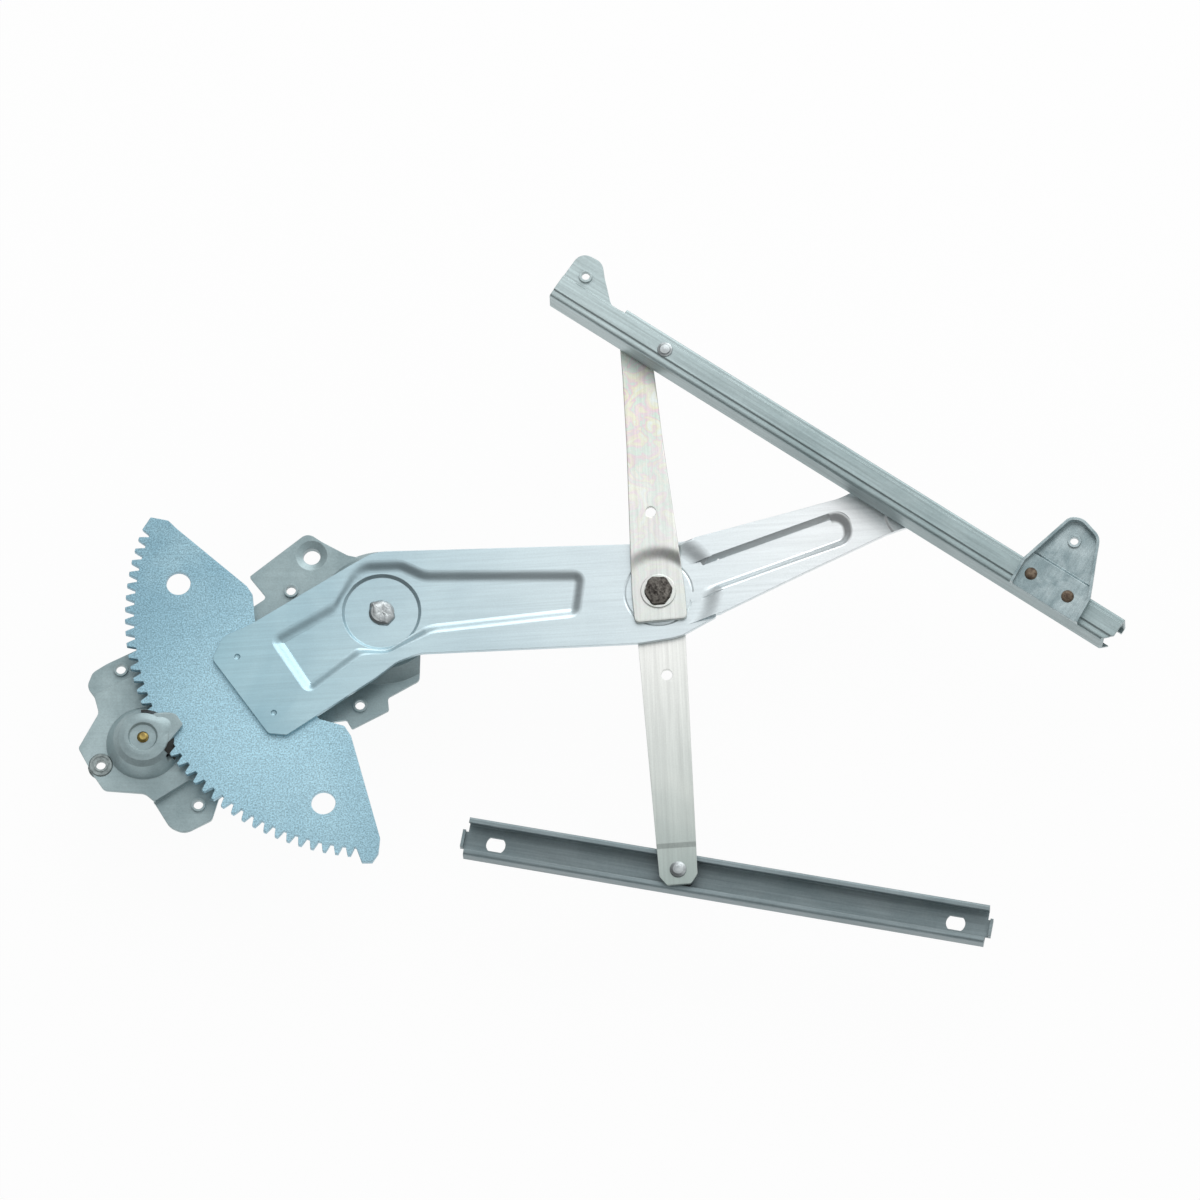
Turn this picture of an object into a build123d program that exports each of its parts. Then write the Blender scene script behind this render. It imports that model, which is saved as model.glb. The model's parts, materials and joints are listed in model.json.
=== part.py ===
from build123d import *
import os
from math import acos, atan2, cos, degrees, hypot, pi, radians, sin, sqrt, tan

os.makedirs("parts", exist_ok=True)

# Hand-cranked crossed-arm window regulator, lying flat with its glass side up.
# The origin is the drawn locating hole of the base plate, on the plane where the plate meets
# the door. +Z points from the door panel to the glass. Millimetres and degrees throughout.
# Outlines are given round the main pivot, or along the arm or channel that they belong to.

# Gear train
module = 2.0
full_circle_teeth = 128          # teeth that the sector would have as a whole wheel
sector_teeth = 37
pinion_teeth = 8
pressure_angle = 20.0
profile_shift = 0.53             # keeps the small pinion free of undercut
tooth_backlash = 0.12
pinion_direction = 209.2         # from the main pivot towards the pinion
first_tooth_angle = 263.32       # lowest tooth of the sector
pinion_tip_trim = 0.46           # flattens the points of the pinion teeth
pinion_root_relief = 0.16

# Linkage
pivot_x = 36.1                   # main pivot from the locating hole
pivot_y = -34.0
drive_length = 139.35            # main pivot to centre pivot
drive_direction = 3.4
roller_length = 132.5            # centre pivot to each upper roller
lift_direction = 17.3            # centre pivot to the lift roller
upper_direction = 95.1           # centre pivot to the upper equalizer roller
lower_length = 144.8             # centre pivot to the lower equalizer roller
lower_direction = -86.04
guide_direction = -10.4          # lower channel

# Sheet thicknesses
base_sheet = 2.0
sector_sheet = 3.0
lift_sheet = 2.5
equalizer_sheet = 2.0
upper_sheet = 1.5
lower_sheet = 1.5
bracket_sheet = 1.5

# Clearances
running_fit = 0.05               # radial, shaft in hole
side_play = 0.3                  # between faces that turn past each other
roller_play = 0.4                # roller in its channel

# Levels above the mounting plane
field_rise = 4.0                 # pinion end of the base plate
dish_rise = 6.0                  # spring dish round the main pivot
bush_flange = 1.2
sector_gap = 1.0                 # back of the sector above the bush flange
pocket_depth = 2.5
disc_depth = 1.5
flank_rise = 3.0                 # raised flanks of the lift arm
pad_rise = 0.6                   # roller pad at the tip of the lift arm
jog_rise = 3.0                   # outer part of the upper equalizer arm
foot_drop = 0.8                  # roller end of the lower equalizer arm
lip_gap = 0.5                    # channel lips over the arms
past_edge = 20.0                 # how far a trimming cut reaches past the piece that it trims

dish_top = dish_rise + base_sheet
sector_back = dish_top + bush_flange + side_play + sector_gap
sector_top = sector_back + sector_sheet
lift_top = sector_top + lift_sheet
pocket_floor = lift_top - pocket_depth
disc_floor = pocket_floor - disc_depth
disc_back = disc_floor - lift_sheet
flank_top = lift_top + flank_rise
pad_top = flank_top + pad_rise
upper_arm_back = lift_top + side_play
upper_arm_top = upper_arm_back + equalizer_sheet
raised_arm_top = upper_arm_top + jog_rise
lower_arm_top = sector_top - side_play
lower_arm_back = lower_arm_top - equalizer_sheet
foot_top = lower_arm_top - foot_drop
foot_back = foot_top - equalizer_sheet


def polar(start, length, direction):
    """The point at a distance and direction from another."""
    return start[0] + length * cos(radians(direction)), start[1] + length * sin(radians(direction))


main_pivot = (0.0, 0.0)
centre_pivot = polar(main_pivot, drive_length, drive_direction)
lift_pin = polar(centre_pivot, roller_length, lift_direction)
upper_pin = polar(centre_pivot, roller_length, upper_direction)
lower_pin = polar(centre_pivot, lower_length, lower_direction)
channel_direction = degrees(atan2(lift_pin[1] - upper_pin[1], lift_pin[0] - upper_pin[0]))
sector_pitch_radius = module * full_circle_teeth / 2
pinion_pitch_radius = module * pinion_teeth / 2
centre_distance = sector_pitch_radius + pinion_pitch_radius
pinion_axis = polar(main_pivot, centre_distance, pinion_direction)


def level(height, start=main_pivot, direction=0.0):
    """A horizontal plane at a height, with its own centre and its x along a direction."""
    x_dir = (cos(radians(direction)), sin(radians(direction)), 0)
    return Plane(origin=(pivot_x + start[0], pivot_y + start[1], height), x_dir=x_dir, z_dir=(0, 0, 1))


def upright(start):
    """A vertical plane through a point, for profiles that are turned."""
    return Plane(origin=(pivot_x + start[0], pivot_y + start[1], 0), x_dir=(1, 0, 0), z_dir=(0, -1, 0))


def upright_along(start, direction):
    """A vertical plane along a direction, for profiles that are carried sideways."""
    along = (cos(radians(direction)), sin(radians(direction)), 0)
    across = (sin(radians(direction)), -cos(radians(direction)), 0)
    return Plane(origin=(pivot_x + start[0], pivot_y + start[1], 0), x_dir=along, z_dir=across)


def cross_section(start, direction):
    """A plane across a channel: x across it, y up."""
    along = (cos(radians(direction)), sin(radians(direction)), 0)
    across = (-sin(radians(direction)), cos(radians(direction)), 0)
    return Plane(origin=(pivot_x + start[0], pivot_y + start[1], 0), x_dir=across, z_dir=along)


def draw_rounded(outline, radii):
    """Draws a closed outline with each corner rounded as far as its edges allow."""
    corners = [Vector(*point) for point in outline]
    count = len(corners)
    radii = radii if isinstance(radii, list) else [radii] * count
    arcs = []
    for number, corner in enumerate(corners):
        back = corners[number - 1] - corner
        ahead = corners[(number + 1) % count] - corner
        half = radians(back.get_angle(ahead)) / 2
        reach = min(radii[number] / tan(half), 0.46 * min(back.length, ahead.length))
        inward = (back.normalized() + ahead.normalized()).normalized()
        middle = corner + inward * (reach / cos(half) - reach * tan(half))
        arcs.append((corner + back.normalized() * reach, middle, corner + ahead.normalized() * reach))
    for number, (first, middle, last) in enumerate(arcs):
        if (last - first).length > 0.01:
            ThreePointArc(first, middle, last)
        Line(last, arcs[(number + 1) % count][0])


def press(plane, outline, radius, height, slope=0.0, mode=Mode.ADD):
    """A rounded outline carried up or down from a plane, with sloping walls if asked."""
    with BuildSketch(plane) as shape:
        with BuildLine():
            draw_rounded(outline, radius)
        make_face()
    extrude(shape.sketch, amount=height, taper=slope, mode=mode)


def disc(start, radius, low, high, mode=Mode.ADD):
    """A round plate or hole between two heights."""
    with BuildSketch(level(low, start)) as shape:
        Circle(radius)
    extrude(shape.sketch, amount=high - low, mode=mode)


def turn(start, profile, mode=Mode.ADD):
    """A closed profile of radius and height pairs, turned about a vertical axis."""
    with BuildSketch(upright(start)) as shape:
        with BuildLine():
            Polyline(*profile, close=True)
        make_face()
    axis = Axis((pivot_x + start[0], pivot_y + start[1], 0), (0, 0, 1))
    revolve(shape.sketch, axis=axis, mode=mode)


def involute(angle):
    """The involute function of a pressure angle in radians."""
    return tan(angle) - angle


def flank_angle(teeth, shift, radius):
    """Half the angle that one tooth fills at a radius."""
    base_radius = module * teeth / 2 * cos(radians(pressure_angle))
    thickness = module * (pi / 2 + 2 * shift * tan(radians(pressure_angle))) - tooth_backlash
    at_radius = acos(min(1.0, base_radius / radius))
    return thickness / (module * teeth) + involute(radians(pressure_angle)) - involute(at_radius)


def tooth(teeth, shift, root_radius, tip_radius, middle):
    """The outline of one tooth, from root to root, as points round its wheel's centre."""
    base_radius = module * teeth / 2 * cos(radians(pressure_angle))
    start = max(root_radius, base_radius)
    steps = [start + (tip_radius - start) * step / 3 for step in range(4)]
    rising = [(radius, -flank_angle(teeth, shift, radius)) for radius in steps]
    if root_radius < base_radius:
        rising.insert(0, (root_radius, rising[0][1]))
    falling = [(radius, -angle) for radius, angle in reversed(rising)]
    return [polar((0, 0), radius, middle + degrees(angle)) for radius, angle in rising + falling]


# Base plate
# One stamping: mounting ears, raised pinion field with its dome, and the spring dish
ear_pitch_hole = 2.5             # core of an M6 thread
burr_radius = 3.6
burr_height = 1.5
ear_holes = [(-131.3, -26.2), (-91.3, -97.8), (-46.2, 15.1), (-10.8, -45.9)]
nut_place = (-140.3, -77.7)
nut_radius = 6.0
nut_flange = 6.6
locator = (-pivot_x, -pivot_y)
locator_radius = 4.4
locator_depth = 4.0
locator_lead = 3.5
locator_lip = 1.5
plate_outline = [
    (-124.6, -16.2), (-138.5, -23.0), (-145.5, -27.5), (-148.3, -35.0), (-144.4, -40.4), (-141.8, -50.2),
    (-151.7, -68.6), (-144.6, -81.9), (-138.5, -90.9), (-118.0, -92.6), (-113.1, -96.8), (-105.5, -109.3),
    (-98.0, -112.5), (-84.5, -105.5), (-81.1, -94.1), (-56.0, -76.0), (-31.0, -57.5), (-23.5, -54.0),
    (-17.5, -53.2), (-14.8, -58.1), (3.7, -48.3), (3.0, -41.6), (18.8, -32.6), (19.6, -17.0),
    (33.0, -17.0), (37.0, 8.0), (22.0, 29.0), (-9.0, 32.0), (-18.0, 34.0), (-31.3, 41.4),
    (-38.2, 46.2), (-67.3, 22.9), (-58.4, 11.6), (-64.7, 7.2)]
plate_corners = [
    4, 12, 5, 5, 3, 4, 2, 2, 4, 6, 4, 9, 9, 3, 3, 20, 20, 4, 1.5, 1, 1.5, 2, 3, 1.5,
    8, 12, 12, 20, 6, 20, 6, 1.0, 2, 2]
field_outline = [
    (-144.4, -40.4), (-123.5, -29.9), (-92.0, -30.0), (-84.0, -45.0), (-84.0, -72.0), (-89.2, -84.0),
    (-95.7, -85.6), (-113.1, -96.8), (-118.0, -92.6), (-138.5, -90.9), (-144.6, -81.9), (-151.7, -68.6),
    (-141.8, -50.2)]
field_corners = [1.5, 4, 6, 6, 6, 4, 4, 1.5, 6, 4, 2, 2, 4]
field_hollow = [
    (-150.0, -45.5), (-123.9, -32.1), (-93.2, -32.0), (-86.0, -45.6), (-86.0, -71.6), (-90.6, -82.0),
    (-96.4, -83.4), (-114.0, -94.7), (-112.0, -106.0), (-146.0, -104.0), (-166.0, -70.0), (-152.0, -50.0)]
dish_foot = 36.5
dish_shoulder = 28.5
dome_foot = 19.0
dome_mouth = 15.4
cap_back = sector_top + 0.7
cap_top = cap_back + 3.3
cap_radius = 8.5
cup_radius = 7.8
cup_depth = 1.4
beak_sheet = 2.2
journal_radius = 2.9
slot_radius = sector_pitch_radius + 3.2
slot_low = sector_back - 0.7
beak_outline = [(-121.8, -54.6), (-102.8, -53.9), (-98.6, -59.7), (-107.7, -71.3), (-112.0, -76.0), (-124.0, -72.0)]
hook_direction = 215.0           # where the balance spring is anchored
hook_radius = 26.4               # outer face of the balance spring's end
lug_outline = [(hook_radius, 0.5), (31.5, 0.5), (31.5, 5.5), (hook_radius, 5.5)]
lug_low = 0.6
bush_radius = 8.45

with BuildPart() as base_plate:
    press(level(0), plate_outline, plate_corners, base_sheet)
    press(level(0), field_outline, field_corners, field_rise + base_sheet)
    press(level(-1), field_hollow, 1.5, field_rise + 1, mode=Mode.SUBTRACT)
    # the spring dish, open at the back and cut off by the plate's edge at the lower right
    turn(main_pivot, [(0, 0), (dish_foot, 0), (dish_shoulder, dish_top), (0, dish_top)])
    with BuildSketch(level(-1)) as trim:
        with BuildLine():
            Polyline((19.6, -17.0), (60.0, -17.0), (60.0, -60.0), (18.0, -60.0), (18.8, -32.6), close=True)
        make_face()
    extrude(trim.sketch, amount=dish_top + 2, mode=Mode.SUBTRACT)
    turn(main_pivot, [(0, -1), (dish_foot - base_sheet, -1), (dish_foot - base_sheet, 0),
                      (dish_shoulder - base_sheet, dish_rise), (0, dish_rise)], mode=Mode.SUBTRACT)
    # the dome over the pinion, with its cup and the beak that keeps the sector in mesh
    turn(pinion_axis, [(0, field_rise), (dome_foot, field_rise), (dome_foot, field_rise + base_sheet),
                       (16.8, 10.2), (15.0, 14.0), (12.4, cap_top - 0.8), (cap_radius + 0.8, cap_top),
                       (0, cap_top)])
    press(level(cap_back), beak_outline, [2, 3, 1.5, 3, 3, 6], beak_sheet)
    turn(pinion_axis, [(0, field_rise - 1), (dome_mouth, field_rise - 1), (dome_mouth, 7.0), (14.6, 9.8),
                       (12.9, 13.0), (12.2, cap_back), (0, cap_back)], mode=Mode.SUBTRACT)
    disc(main_pivot, slot_radius, slot_low, cap_back, mode=Mode.SUBTRACT)
    turn(pinion_axis, [(0, cap_top - cup_depth), (cup_radius - 1.2, cap_top - cup_depth),
                       (cup_radius, cap_top + 0.5), (0, cap_top + 0.5)], mode=Mode.SUBTRACT)
    disc(pinion_axis, journal_radius + running_fit, field_rise, cap_top, mode=Mode.SUBTRACT)
    # mounting holes with their tapped collars, the drawn locating hole and the nut's seat
    for place in ear_holes:
        disc(place, burr_radius, base_sheet, base_sheet + burr_height)
        disc(place, ear_pitch_hole, -1, base_sheet + burr_height + 1, mode=Mode.SUBTRACT)
    turn(locator, [(0, -locator_depth), (locator_radius + 1.8, -locator_depth), (locator_radius + 1.8, 0),
                   (0, 0)])
    turn(locator, [(0, -locator_depth - 1), (locator_radius, -locator_depth - 1),
                   (locator_radius, base_sheet - locator_lip),
                   (locator_radius + locator_lead, base_sheet), (locator_radius + locator_lead, base_sheet + 1),
                   (0, base_sheet + 1)], mode=Mode.SUBTRACT)
    disc(nut_place, nut_radius, field_rise - 1, field_rise + base_sheet + 1, mode=Mode.SUBTRACT)
    # bearing hole in the dish and the lug that holds the balance spring's outer end
    disc(main_pivot, bush_radius + running_fit, dish_rise - 1, dish_top + 1, mode=Mode.SUBTRACT)
    press(level(lug_low, main_pivot, hook_direction), lug_outline, 0.5, dish_rise + 0.5 - lug_low)
base_plate.part.label = "base_plate"
export_step(base_plate.part, "parts/base_plate.step")

# Sector gear
# Flat blank with involute teeth, welded under the rim of the lift arm's left end
sector_tip = sector_pitch_radius + module * (1 - profile_shift)
sector_root = sector_pitch_radius - module * (1.25 + profile_shift)
tooth_step = 360 / full_circle_teeth
last_tooth_angle = first_tooth_angle - (sector_teeth - 1) * tooth_step
toothed_middle = (first_tooth_angle + last_tooth_angle) / 2
blank_low_end = polar(main_pivot, sector_root, first_tooth_angle + tooth_step / 2)
blank_high_end = polar(main_pivot, sector_root, last_tooth_angle - 0.55 * tooth_step)
blank_edge = [
    (-120.9, 44.6), (-116.8, 51.0), (-107.9, 49.2), (-103.5, 44.8), (-67.8, 14.0), (-64.9, 9.5),
    (-63.6, -4.0), (-58.5, -16.5), (-37.0, -48.5), (-30.6, -56.5), (-18.0, -60.2), (-14.6, -65.5),
    (0.4, -119.0), (-0.4, -127.0), (-3.4, -131.6), (-8.6, -131.6)]
lightening_holes = [(-102.3, 15.7), (-28.1, -100.5)]
lightening_radius = 6.1

with BuildPart() as sector_gear:
    with BuildSketch(level(sector_back)) as blank:
        with BuildLine():
            ThreePointArc(blank_low_end, polar(main_pivot, sector_root, toothed_middle), blank_high_end)
            Polyline(blank_high_end, *blank_edge, blank_low_end)
        make_face()
        for number in range(sector_teeth):
            middle = first_tooth_angle - number * tooth_step
            Polygon(*tooth(full_circle_teeth, -profile_shift, sector_root - 0.3, sector_tip, middle), align=None)
        with Locations(*lightening_holes):
            Circle(lightening_radius, mode=Mode.SUBTRACT)
    extrude(blank.sketch, amount=sector_sheet)
    blank_corners = sector_gear.edges().filter_by(Axis.Z).filter_by(
        lambda edge: Vector(edge.center().X - pivot_x, edge.center().Y - pivot_y).length < sector_root - 3)
    fillet(blank_corners, 1.2)
sector_gear.part.label = "sector_gear"
export_step(sector_gear.part, "parts/sector_gear.step")

# Lift arm
# Left half with its pressed pocket, centre plane, and the raised outer half round a long slot pressing
centre_pin_radius = 8.0
shaft_neck = 5.45
stud_neck = 3.5
lower_neck = 3.0
raised_direction = 18.0          # the raised half was measured along this direction
left_outline = [
    (-84.6, -25.2), (-79.6, -14.0), (-65.6, -7.1), (-18.3, 22.3), (-4.0, 31.0), (drive_length - 14.05, 34.1),
    (drive_length + 9.45, 35.0), (drive_length + 19.05, 36.4), (drive_length + 27.65, 20.0),
    (drive_length + 28.65, -4.6), (drive_length + 11.75, -14.2), (drive_length + 6.65, -15.6),
    (drive_length - 9.75, -18.3), (drive_length - 29.75, -19.2), (19.5, -22.9), (8.0, -27.4), (-2.9, -36.0),
    (-46.8, -65.6), (-56.0, -64.6)]
left_corners = [3, 5, 20, 30, 22, 60, 30, 2, 16, 1, 6, 10, 30, 30, 14, 12, 30, 2, 3]
pocket_outline = [
    (-56.6, -14.4), (-23.5, 4.8), (-13.5, 26.0), (10.0, 26.6), (22.0, 20.9), (drive_length - 36.35, 20.6),
    (drive_length - 39.35, -4.0), (26.0, -12.2), (3.0, -23.0), (-9.0, -23.3), (-36.5, -44.8)]
pocket_corners = [5, 9, 13, 13, 12, 6, 6, 20, 15, 10, 5]
arm_disc_radius = 18.5
raised_outline = [
    (17.0, 17.5), (26.0, 21.2), (70.0, 19.2), (roller_length - 30.9, 17.9), (roller_length - 22.5, 19.4),
    (roller_length - 8.5, 16.6), (roller_length + 5.5, 14.0), (roller_length + 10.1, 1.5),
    (roller_length + 8.5, -6.0), (roller_length + 0.5, -7.5), (roller_length - 14.5, -7.5), (72.0, -14.0),
    (26.0, -21.0), (17.0, -18.0)]
raised_corners = [2, 3, 60, 30, 12, 20, 9, 9, 5, 20, 20, 80, 3, 2]
slot_end = roller_length - 28.5
slot_outline = [(12.0, 8.8), (slot_end, 12.6), (slot_end - 2.4, -6.2), (12.0, -9.8)]
slot_pan = [(34.0, 9.6), (slot_end, 12.6), (slot_end - 2.4, -6.2), (34.0, -9.0)]
slot_bridge = [(12.0, 6.4), (37.0, 7.4), (37.0, -6.7), (12.0, -7.6)]
slot_corners = [1, 8.5, 8.5, 1]
flank_foot = 26.5                # where the raised half starts to climb, round the centre pivot
flank_shoulder = 32.5
roller_pad_radius = 13.0
press_slope = 40.0               # walls of the pressings, from upright
coin_radius = 17.0
weld_pips = [(-72.0, -24.2), (-53.3, -53.9)]

with BuildPart() as lift_arm:
    # raised half with its roller pad, climbing out of the centre plane round the centre pivot
    press(level(sector_top, centre_pivot, raised_direction), raised_outline, raised_corners,
          pad_top - sector_top)
    turn(lift_pin, [(roller_pad_radius, flank_top), (roller_pad_radius - 1.2, pad_top),
                    (roller_pad_radius - 1.2, pad_top + 1), (roller_length + past_edge, pad_top + 1),
                    (roller_length + past_edge, flank_top)], mode=Mode.SUBTRACT)
    turn(centre_pivot, [(0, lift_top), (flank_foot, lift_top), (flank_shoulder, flank_top),
                        (flank_shoulder, flank_top + 1), (0, flank_top + 1)], mode=Mode.SUBTRACT)
    turn(centre_pivot, [(flank_foot + 2.2, sector_top), (flank_shoulder + 2.2, flank_top - lift_sheet),
                        (roller_length + past_edge, flank_top - lift_sheet),
                        (roller_length + past_edge, sector_top)],
         mode=Mode.SUBTRACT)
    disc(lift_pin, roller_pad_radius - 1.6, flank_top - lift_sheet - 1, pad_top - lift_sheet, mode=Mode.SUBTRACT)
    press(level(flank_top - lift_sheet + 0.2, centre_pivot, raised_direction), slot_pan, slot_corners,
          lift_top - flank_top - 0.2, slope=press_slope)
    press(level(sector_top, centre_pivot, raised_direction), slot_bridge, 0, lift_sheet)
    press(level(sector_top), left_outline, left_corners, lift_sheet)
    press(level(flank_top, centre_pivot, raised_direction), slot_outline, slot_corners,
          lift_top - flank_top, slope=press_slope, mode=Mode.SUBTRACT)
    # pocket and the deeper disc round the main pivot
    press(level(sector_top), pocket_outline, pocket_corners, -pocket_depth, slope=press_slope)
    disc_shoulder = arm_disc_radius + disc_depth
    turn(main_pivot, [(0, disc_back), (arm_disc_radius, disc_back), (disc_shoulder, pocket_floor - lift_sheet),
                      (disc_shoulder, sector_top - 1), (0, sector_top - 1)])
    press(level(lift_top), pocket_outline, pocket_corners, -pocket_depth, slope=press_slope, mode=Mode.SUBTRACT)
    turn(main_pivot, [(0, disc_floor), (arm_disc_radius, disc_floor), (disc_shoulder, pocket_floor),
                      (disc_shoulder, pocket_floor + 1), (0, pocket_floor + 1)], mode=Mode.SUBTRACT)
    # coined ring round the centre pivot, weld pips over the sector, and the pivot and stud holes
    turn(centre_pivot, [(coin_radius - 0.8, lift_top + 1), (coin_radius - 0.8, lift_top),
                        (coin_radius, lift_top - 0.3), (coin_radius + 0.8, lift_top),
                        (coin_radius + 0.8, lift_top + 1)], mode=Mode.SUBTRACT)
    for pip in weld_pips:
        turn(pip, [(0, lift_top - 0.8), (1.1, lift_top - 0.6), (1.6, lift_top + 0.1), (0, lift_top + 0.1)],
             mode=Mode.SUBTRACT)
    disc(main_pivot, shaft_neck + running_fit, disc_back - 1, pocket_floor + 1, mode=Mode.SUBTRACT)
    disc(centre_pivot, centre_pin_radius + running_fit, sector_top - 1, lift_top + 1, mode=Mode.SUBTRACT)
    disc(lift_pin, stud_neck + running_fit, flank_top - lift_sheet - 1, pad_top + 1, mode=Mode.SUBTRACT)
lift_arm.part.label = "lift_arm"
export_step(lift_arm.part, "parts/lift_arm.step")

# Equalizer arms
# Two separate flat arms staked to one centre pin, the upper one stepped up past the lift arm
tenon_radius = 6.8               # corner radius of the pin's six-sided ends
upper_arm_tip = roller_length + 8.0
upper_arm_outline = [
    (-15.5, -13.3), (-15.5, 13.3), (0.0, 13.4), (25.0, 12.1), (77.0, 9.3), (roller_length - 17.5, 8.1),
    (upper_arm_tip, 8.0), (upper_arm_tip, -8.0), (roller_length - 17.5, -8.1), (77.0, -9.3), (25.0, -12.1),
    (0.0, -13.4)]
upper_arm_corners = [2.5, 2.5, 10, 60, 60, 40, 7.9, 7.9, 40, 60, 60, 10]
upper_arm_slot = (41.4, 0.2)
arm_hole_radius = 2.75
jog_foot = 16.0                  # the arm climbs along an arc round the centre pivot
jog_shoulder = 20.0
jog_lead = 1.2                   # the underside climbs a little further out
lower_arm_tip = lower_length + 7.7
lower_arm_outline = [
    (-14.0, -11.0), (-14.0, 11.0), (0.0, 13.0), (25.0, 12.0), (lower_length - 12.8, 9.9),
    (lower_length + 3.0, 9.5), (lower_arm_tip, 6.0), (lower_arm_tip, -6.0), (lower_length + 3.0, -9.5),
    (lower_length - 12.8, -9.9), (25.0, -12.0), (0.0, -13.0)]
lower_arm_corners = [6, 6, 14, 60, 20, 2, 2, 2, 2, 20, 60, 14]
lower_arm_hole = (42.6, 1.3)
foot_crease = lower_length - 13.8
foot_start = foot_crease + 2.5

with BuildPart() as equalizer_upper_arm:
    press(level(upper_arm_back, centre_pivot, upper_direction), upper_arm_outline, upper_arm_corners,
          raised_arm_top - upper_arm_back)
    turn(centre_pivot, [(0, upper_arm_top), (jog_foot, upper_arm_top), (jog_shoulder, raised_arm_top),
                        (jog_shoulder, raised_arm_top + 1), (0, raised_arm_top + 1)], mode=Mode.SUBTRACT)
    raised_arm_back = raised_arm_top - equalizer_sheet
    turn(centre_pivot, [(jog_foot + jog_lead, upper_arm_back), (jog_shoulder + jog_lead, raised_arm_back),
                        (roller_length + past_edge, raised_arm_back), (roller_length + past_edge, upper_arm_back)],
         mode=Mode.SUBTRACT)
    with BuildSketch(level(upper_arm_back - 1, centre_pivot, upper_direction)) as openings:
        RegularPolygon(tenon_radius + running_fit, 6)
        with Locations(upper_arm_slot):
            Circle(arm_hole_radius)
        with Locations((roller_length, 0)):
            Circle(stud_neck + running_fit)
    extrude(openings.sketch, amount=raised_arm_top - upper_arm_back + 2, mode=Mode.SUBTRACT)
equalizer_upper_arm.part.label = "equalizer_upper_arm"
export_step(equalizer_upper_arm.part, "parts/equalizer_upper_arm.step")

with BuildPart() as equalizer_lower_arm:
    press(level(foot_back, centre_pivot, lower_direction), lower_arm_outline, lower_arm_corners,
          lower_arm_top - foot_back)
    with BuildSketch(upright_along(centre_pivot, lower_direction)) as trims:
        Polygon((-past_edge, foot_back - 1), (foot_start - 0.6, foot_back - 1), (foot_start - 0.6, foot_back),
                (foot_crease - 0.6, lower_arm_back), (-past_edge, lower_arm_back), align=None)
        Polygon((foot_crease, lower_arm_top), (foot_start, foot_top), (lower_length + past_edge, foot_top),
                (lower_length + past_edge, lower_arm_top + 1), (foot_crease, lower_arm_top + 1), align=None)
    extrude(trims.sketch, amount=past_edge, both=True, mode=Mode.SUBTRACT)
    with BuildSketch(level(foot_back - 1, centre_pivot, lower_direction)) as openings:
        RegularPolygon(tenon_radius + running_fit, 6)
        with Locations(lower_arm_hole):
            Circle(arm_hole_radius + 0.1)
        with Locations((lower_length, 0)):
            Circle(lower_neck + running_fit)
    extrude(openings.sketch, amount=lower_arm_top - foot_back + 2, mode=Mode.SUBTRACT)
equalizer_lower_arm.part.label = "equalizer_lower_arm"
export_step(equalizer_lower_arm.part, "parts/equalizer_lower_arm.step")

# Centre pivot
# Shouldered pin turning in the lift arm, staked over on both sides, with a washer under its head
washer_sheet = 0.8
washer_radius = 8.9
stake_outline = [(-8.4, -1.5), (-3.6, -6.4), (4.6, -6.0), (8.5, 0.8), (4.0, 6.3), (-4.2, 6.1)]

with BuildPart() as center_pin:
    disc(centre_pivot, centre_pin_radius, lower_arm_top, upper_arm_back)
    with BuildSketch(level(lower_arm_back - 0.1, centre_pivot, lower_direction)) as lower_tenon:
        RegularPolygon(tenon_radius, 6)
    extrude(lower_tenon.sketch, amount=lower_arm_top - lower_arm_back + 0.1)
    with BuildSketch(level(upper_arm_back, centre_pivot, upper_direction)) as upper_tenon:
        RegularPolygon(tenon_radius, 6)
    extrude(upper_tenon.sketch, amount=equalizer_sheet + washer_sheet)
    turn(centre_pivot, [(0, lower_arm_back - 1.0), (5.6, lower_arm_back - 1.0), (7.4, lower_arm_back - 0.5),
                        (7.4, lower_arm_back), (0, lower_arm_back)])
    press(level(upper_arm_top + washer_sheet, centre_pivot, 60), stake_outline, 2.5, 1.0, slope=25)
center_pin.part.label = "center_pin"
export_step(center_pin.part, "parts/center_pin.step")

with BuildPart() as center_washer:
    turn(centre_pivot, [(tenon_radius + running_fit, upper_arm_top), (washer_radius, upper_arm_top),
                        (washer_radius, upper_arm_top + washer_sheet - 0.2),
                        (washer_radius - 0.3, upper_arm_top + washer_sheet),
                        (tenon_radius + running_fit, upper_arm_top + washer_sheet)])
center_washer.part.label = "center_washer"
export_step(center_washer.part, "parts/center_washer.step")

# Main pivot
# Shaft riveted into the lift arm, turning in a flanged bush in the dish
shaft_radius = 6.5
shaft_foot = 0.3
shaft_notch_top = 3.6
collar_radius = 8.8
flange_radius = 12.0

with BuildPart() as pivot_shaft:
    turn(main_pivot, [(0, shaft_foot), (shaft_radius - 0.6, shaft_foot), (shaft_radius, shaft_foot + 0.6),
                      (shaft_radius, 3.8), (collar_radius, 3.8), (collar_radius, 5.0), (shaft_radius, 5.0),
                      (shaft_radius, disc_back), (shaft_neck, disc_back), (shaft_neck, disc_floor),
                      (6.4, disc_floor), (6.4, disc_floor + 0.7), (5.2, disc_floor + 1.7),
                      (2.2, disc_floor + 2.0), (1.6, disc_floor + 1.5), (0, disc_floor + 1.5)])
    with BuildSketch(level(shaft_foot - 1, main_pivot, hook_direction + 19)) as notch:
        with Locations((1.2 + collar_radius / 2, 0)):
            Rectangle(collar_radius, 2 * collar_radius)
    extrude(notch.sketch, amount=shaft_notch_top - shaft_foot + 1, mode=Mode.SUBTRACT)
pivot_shaft.part.label = "pivot_shaft"
export_step(pivot_shaft.part, "parts/pivot_shaft.step")

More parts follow.
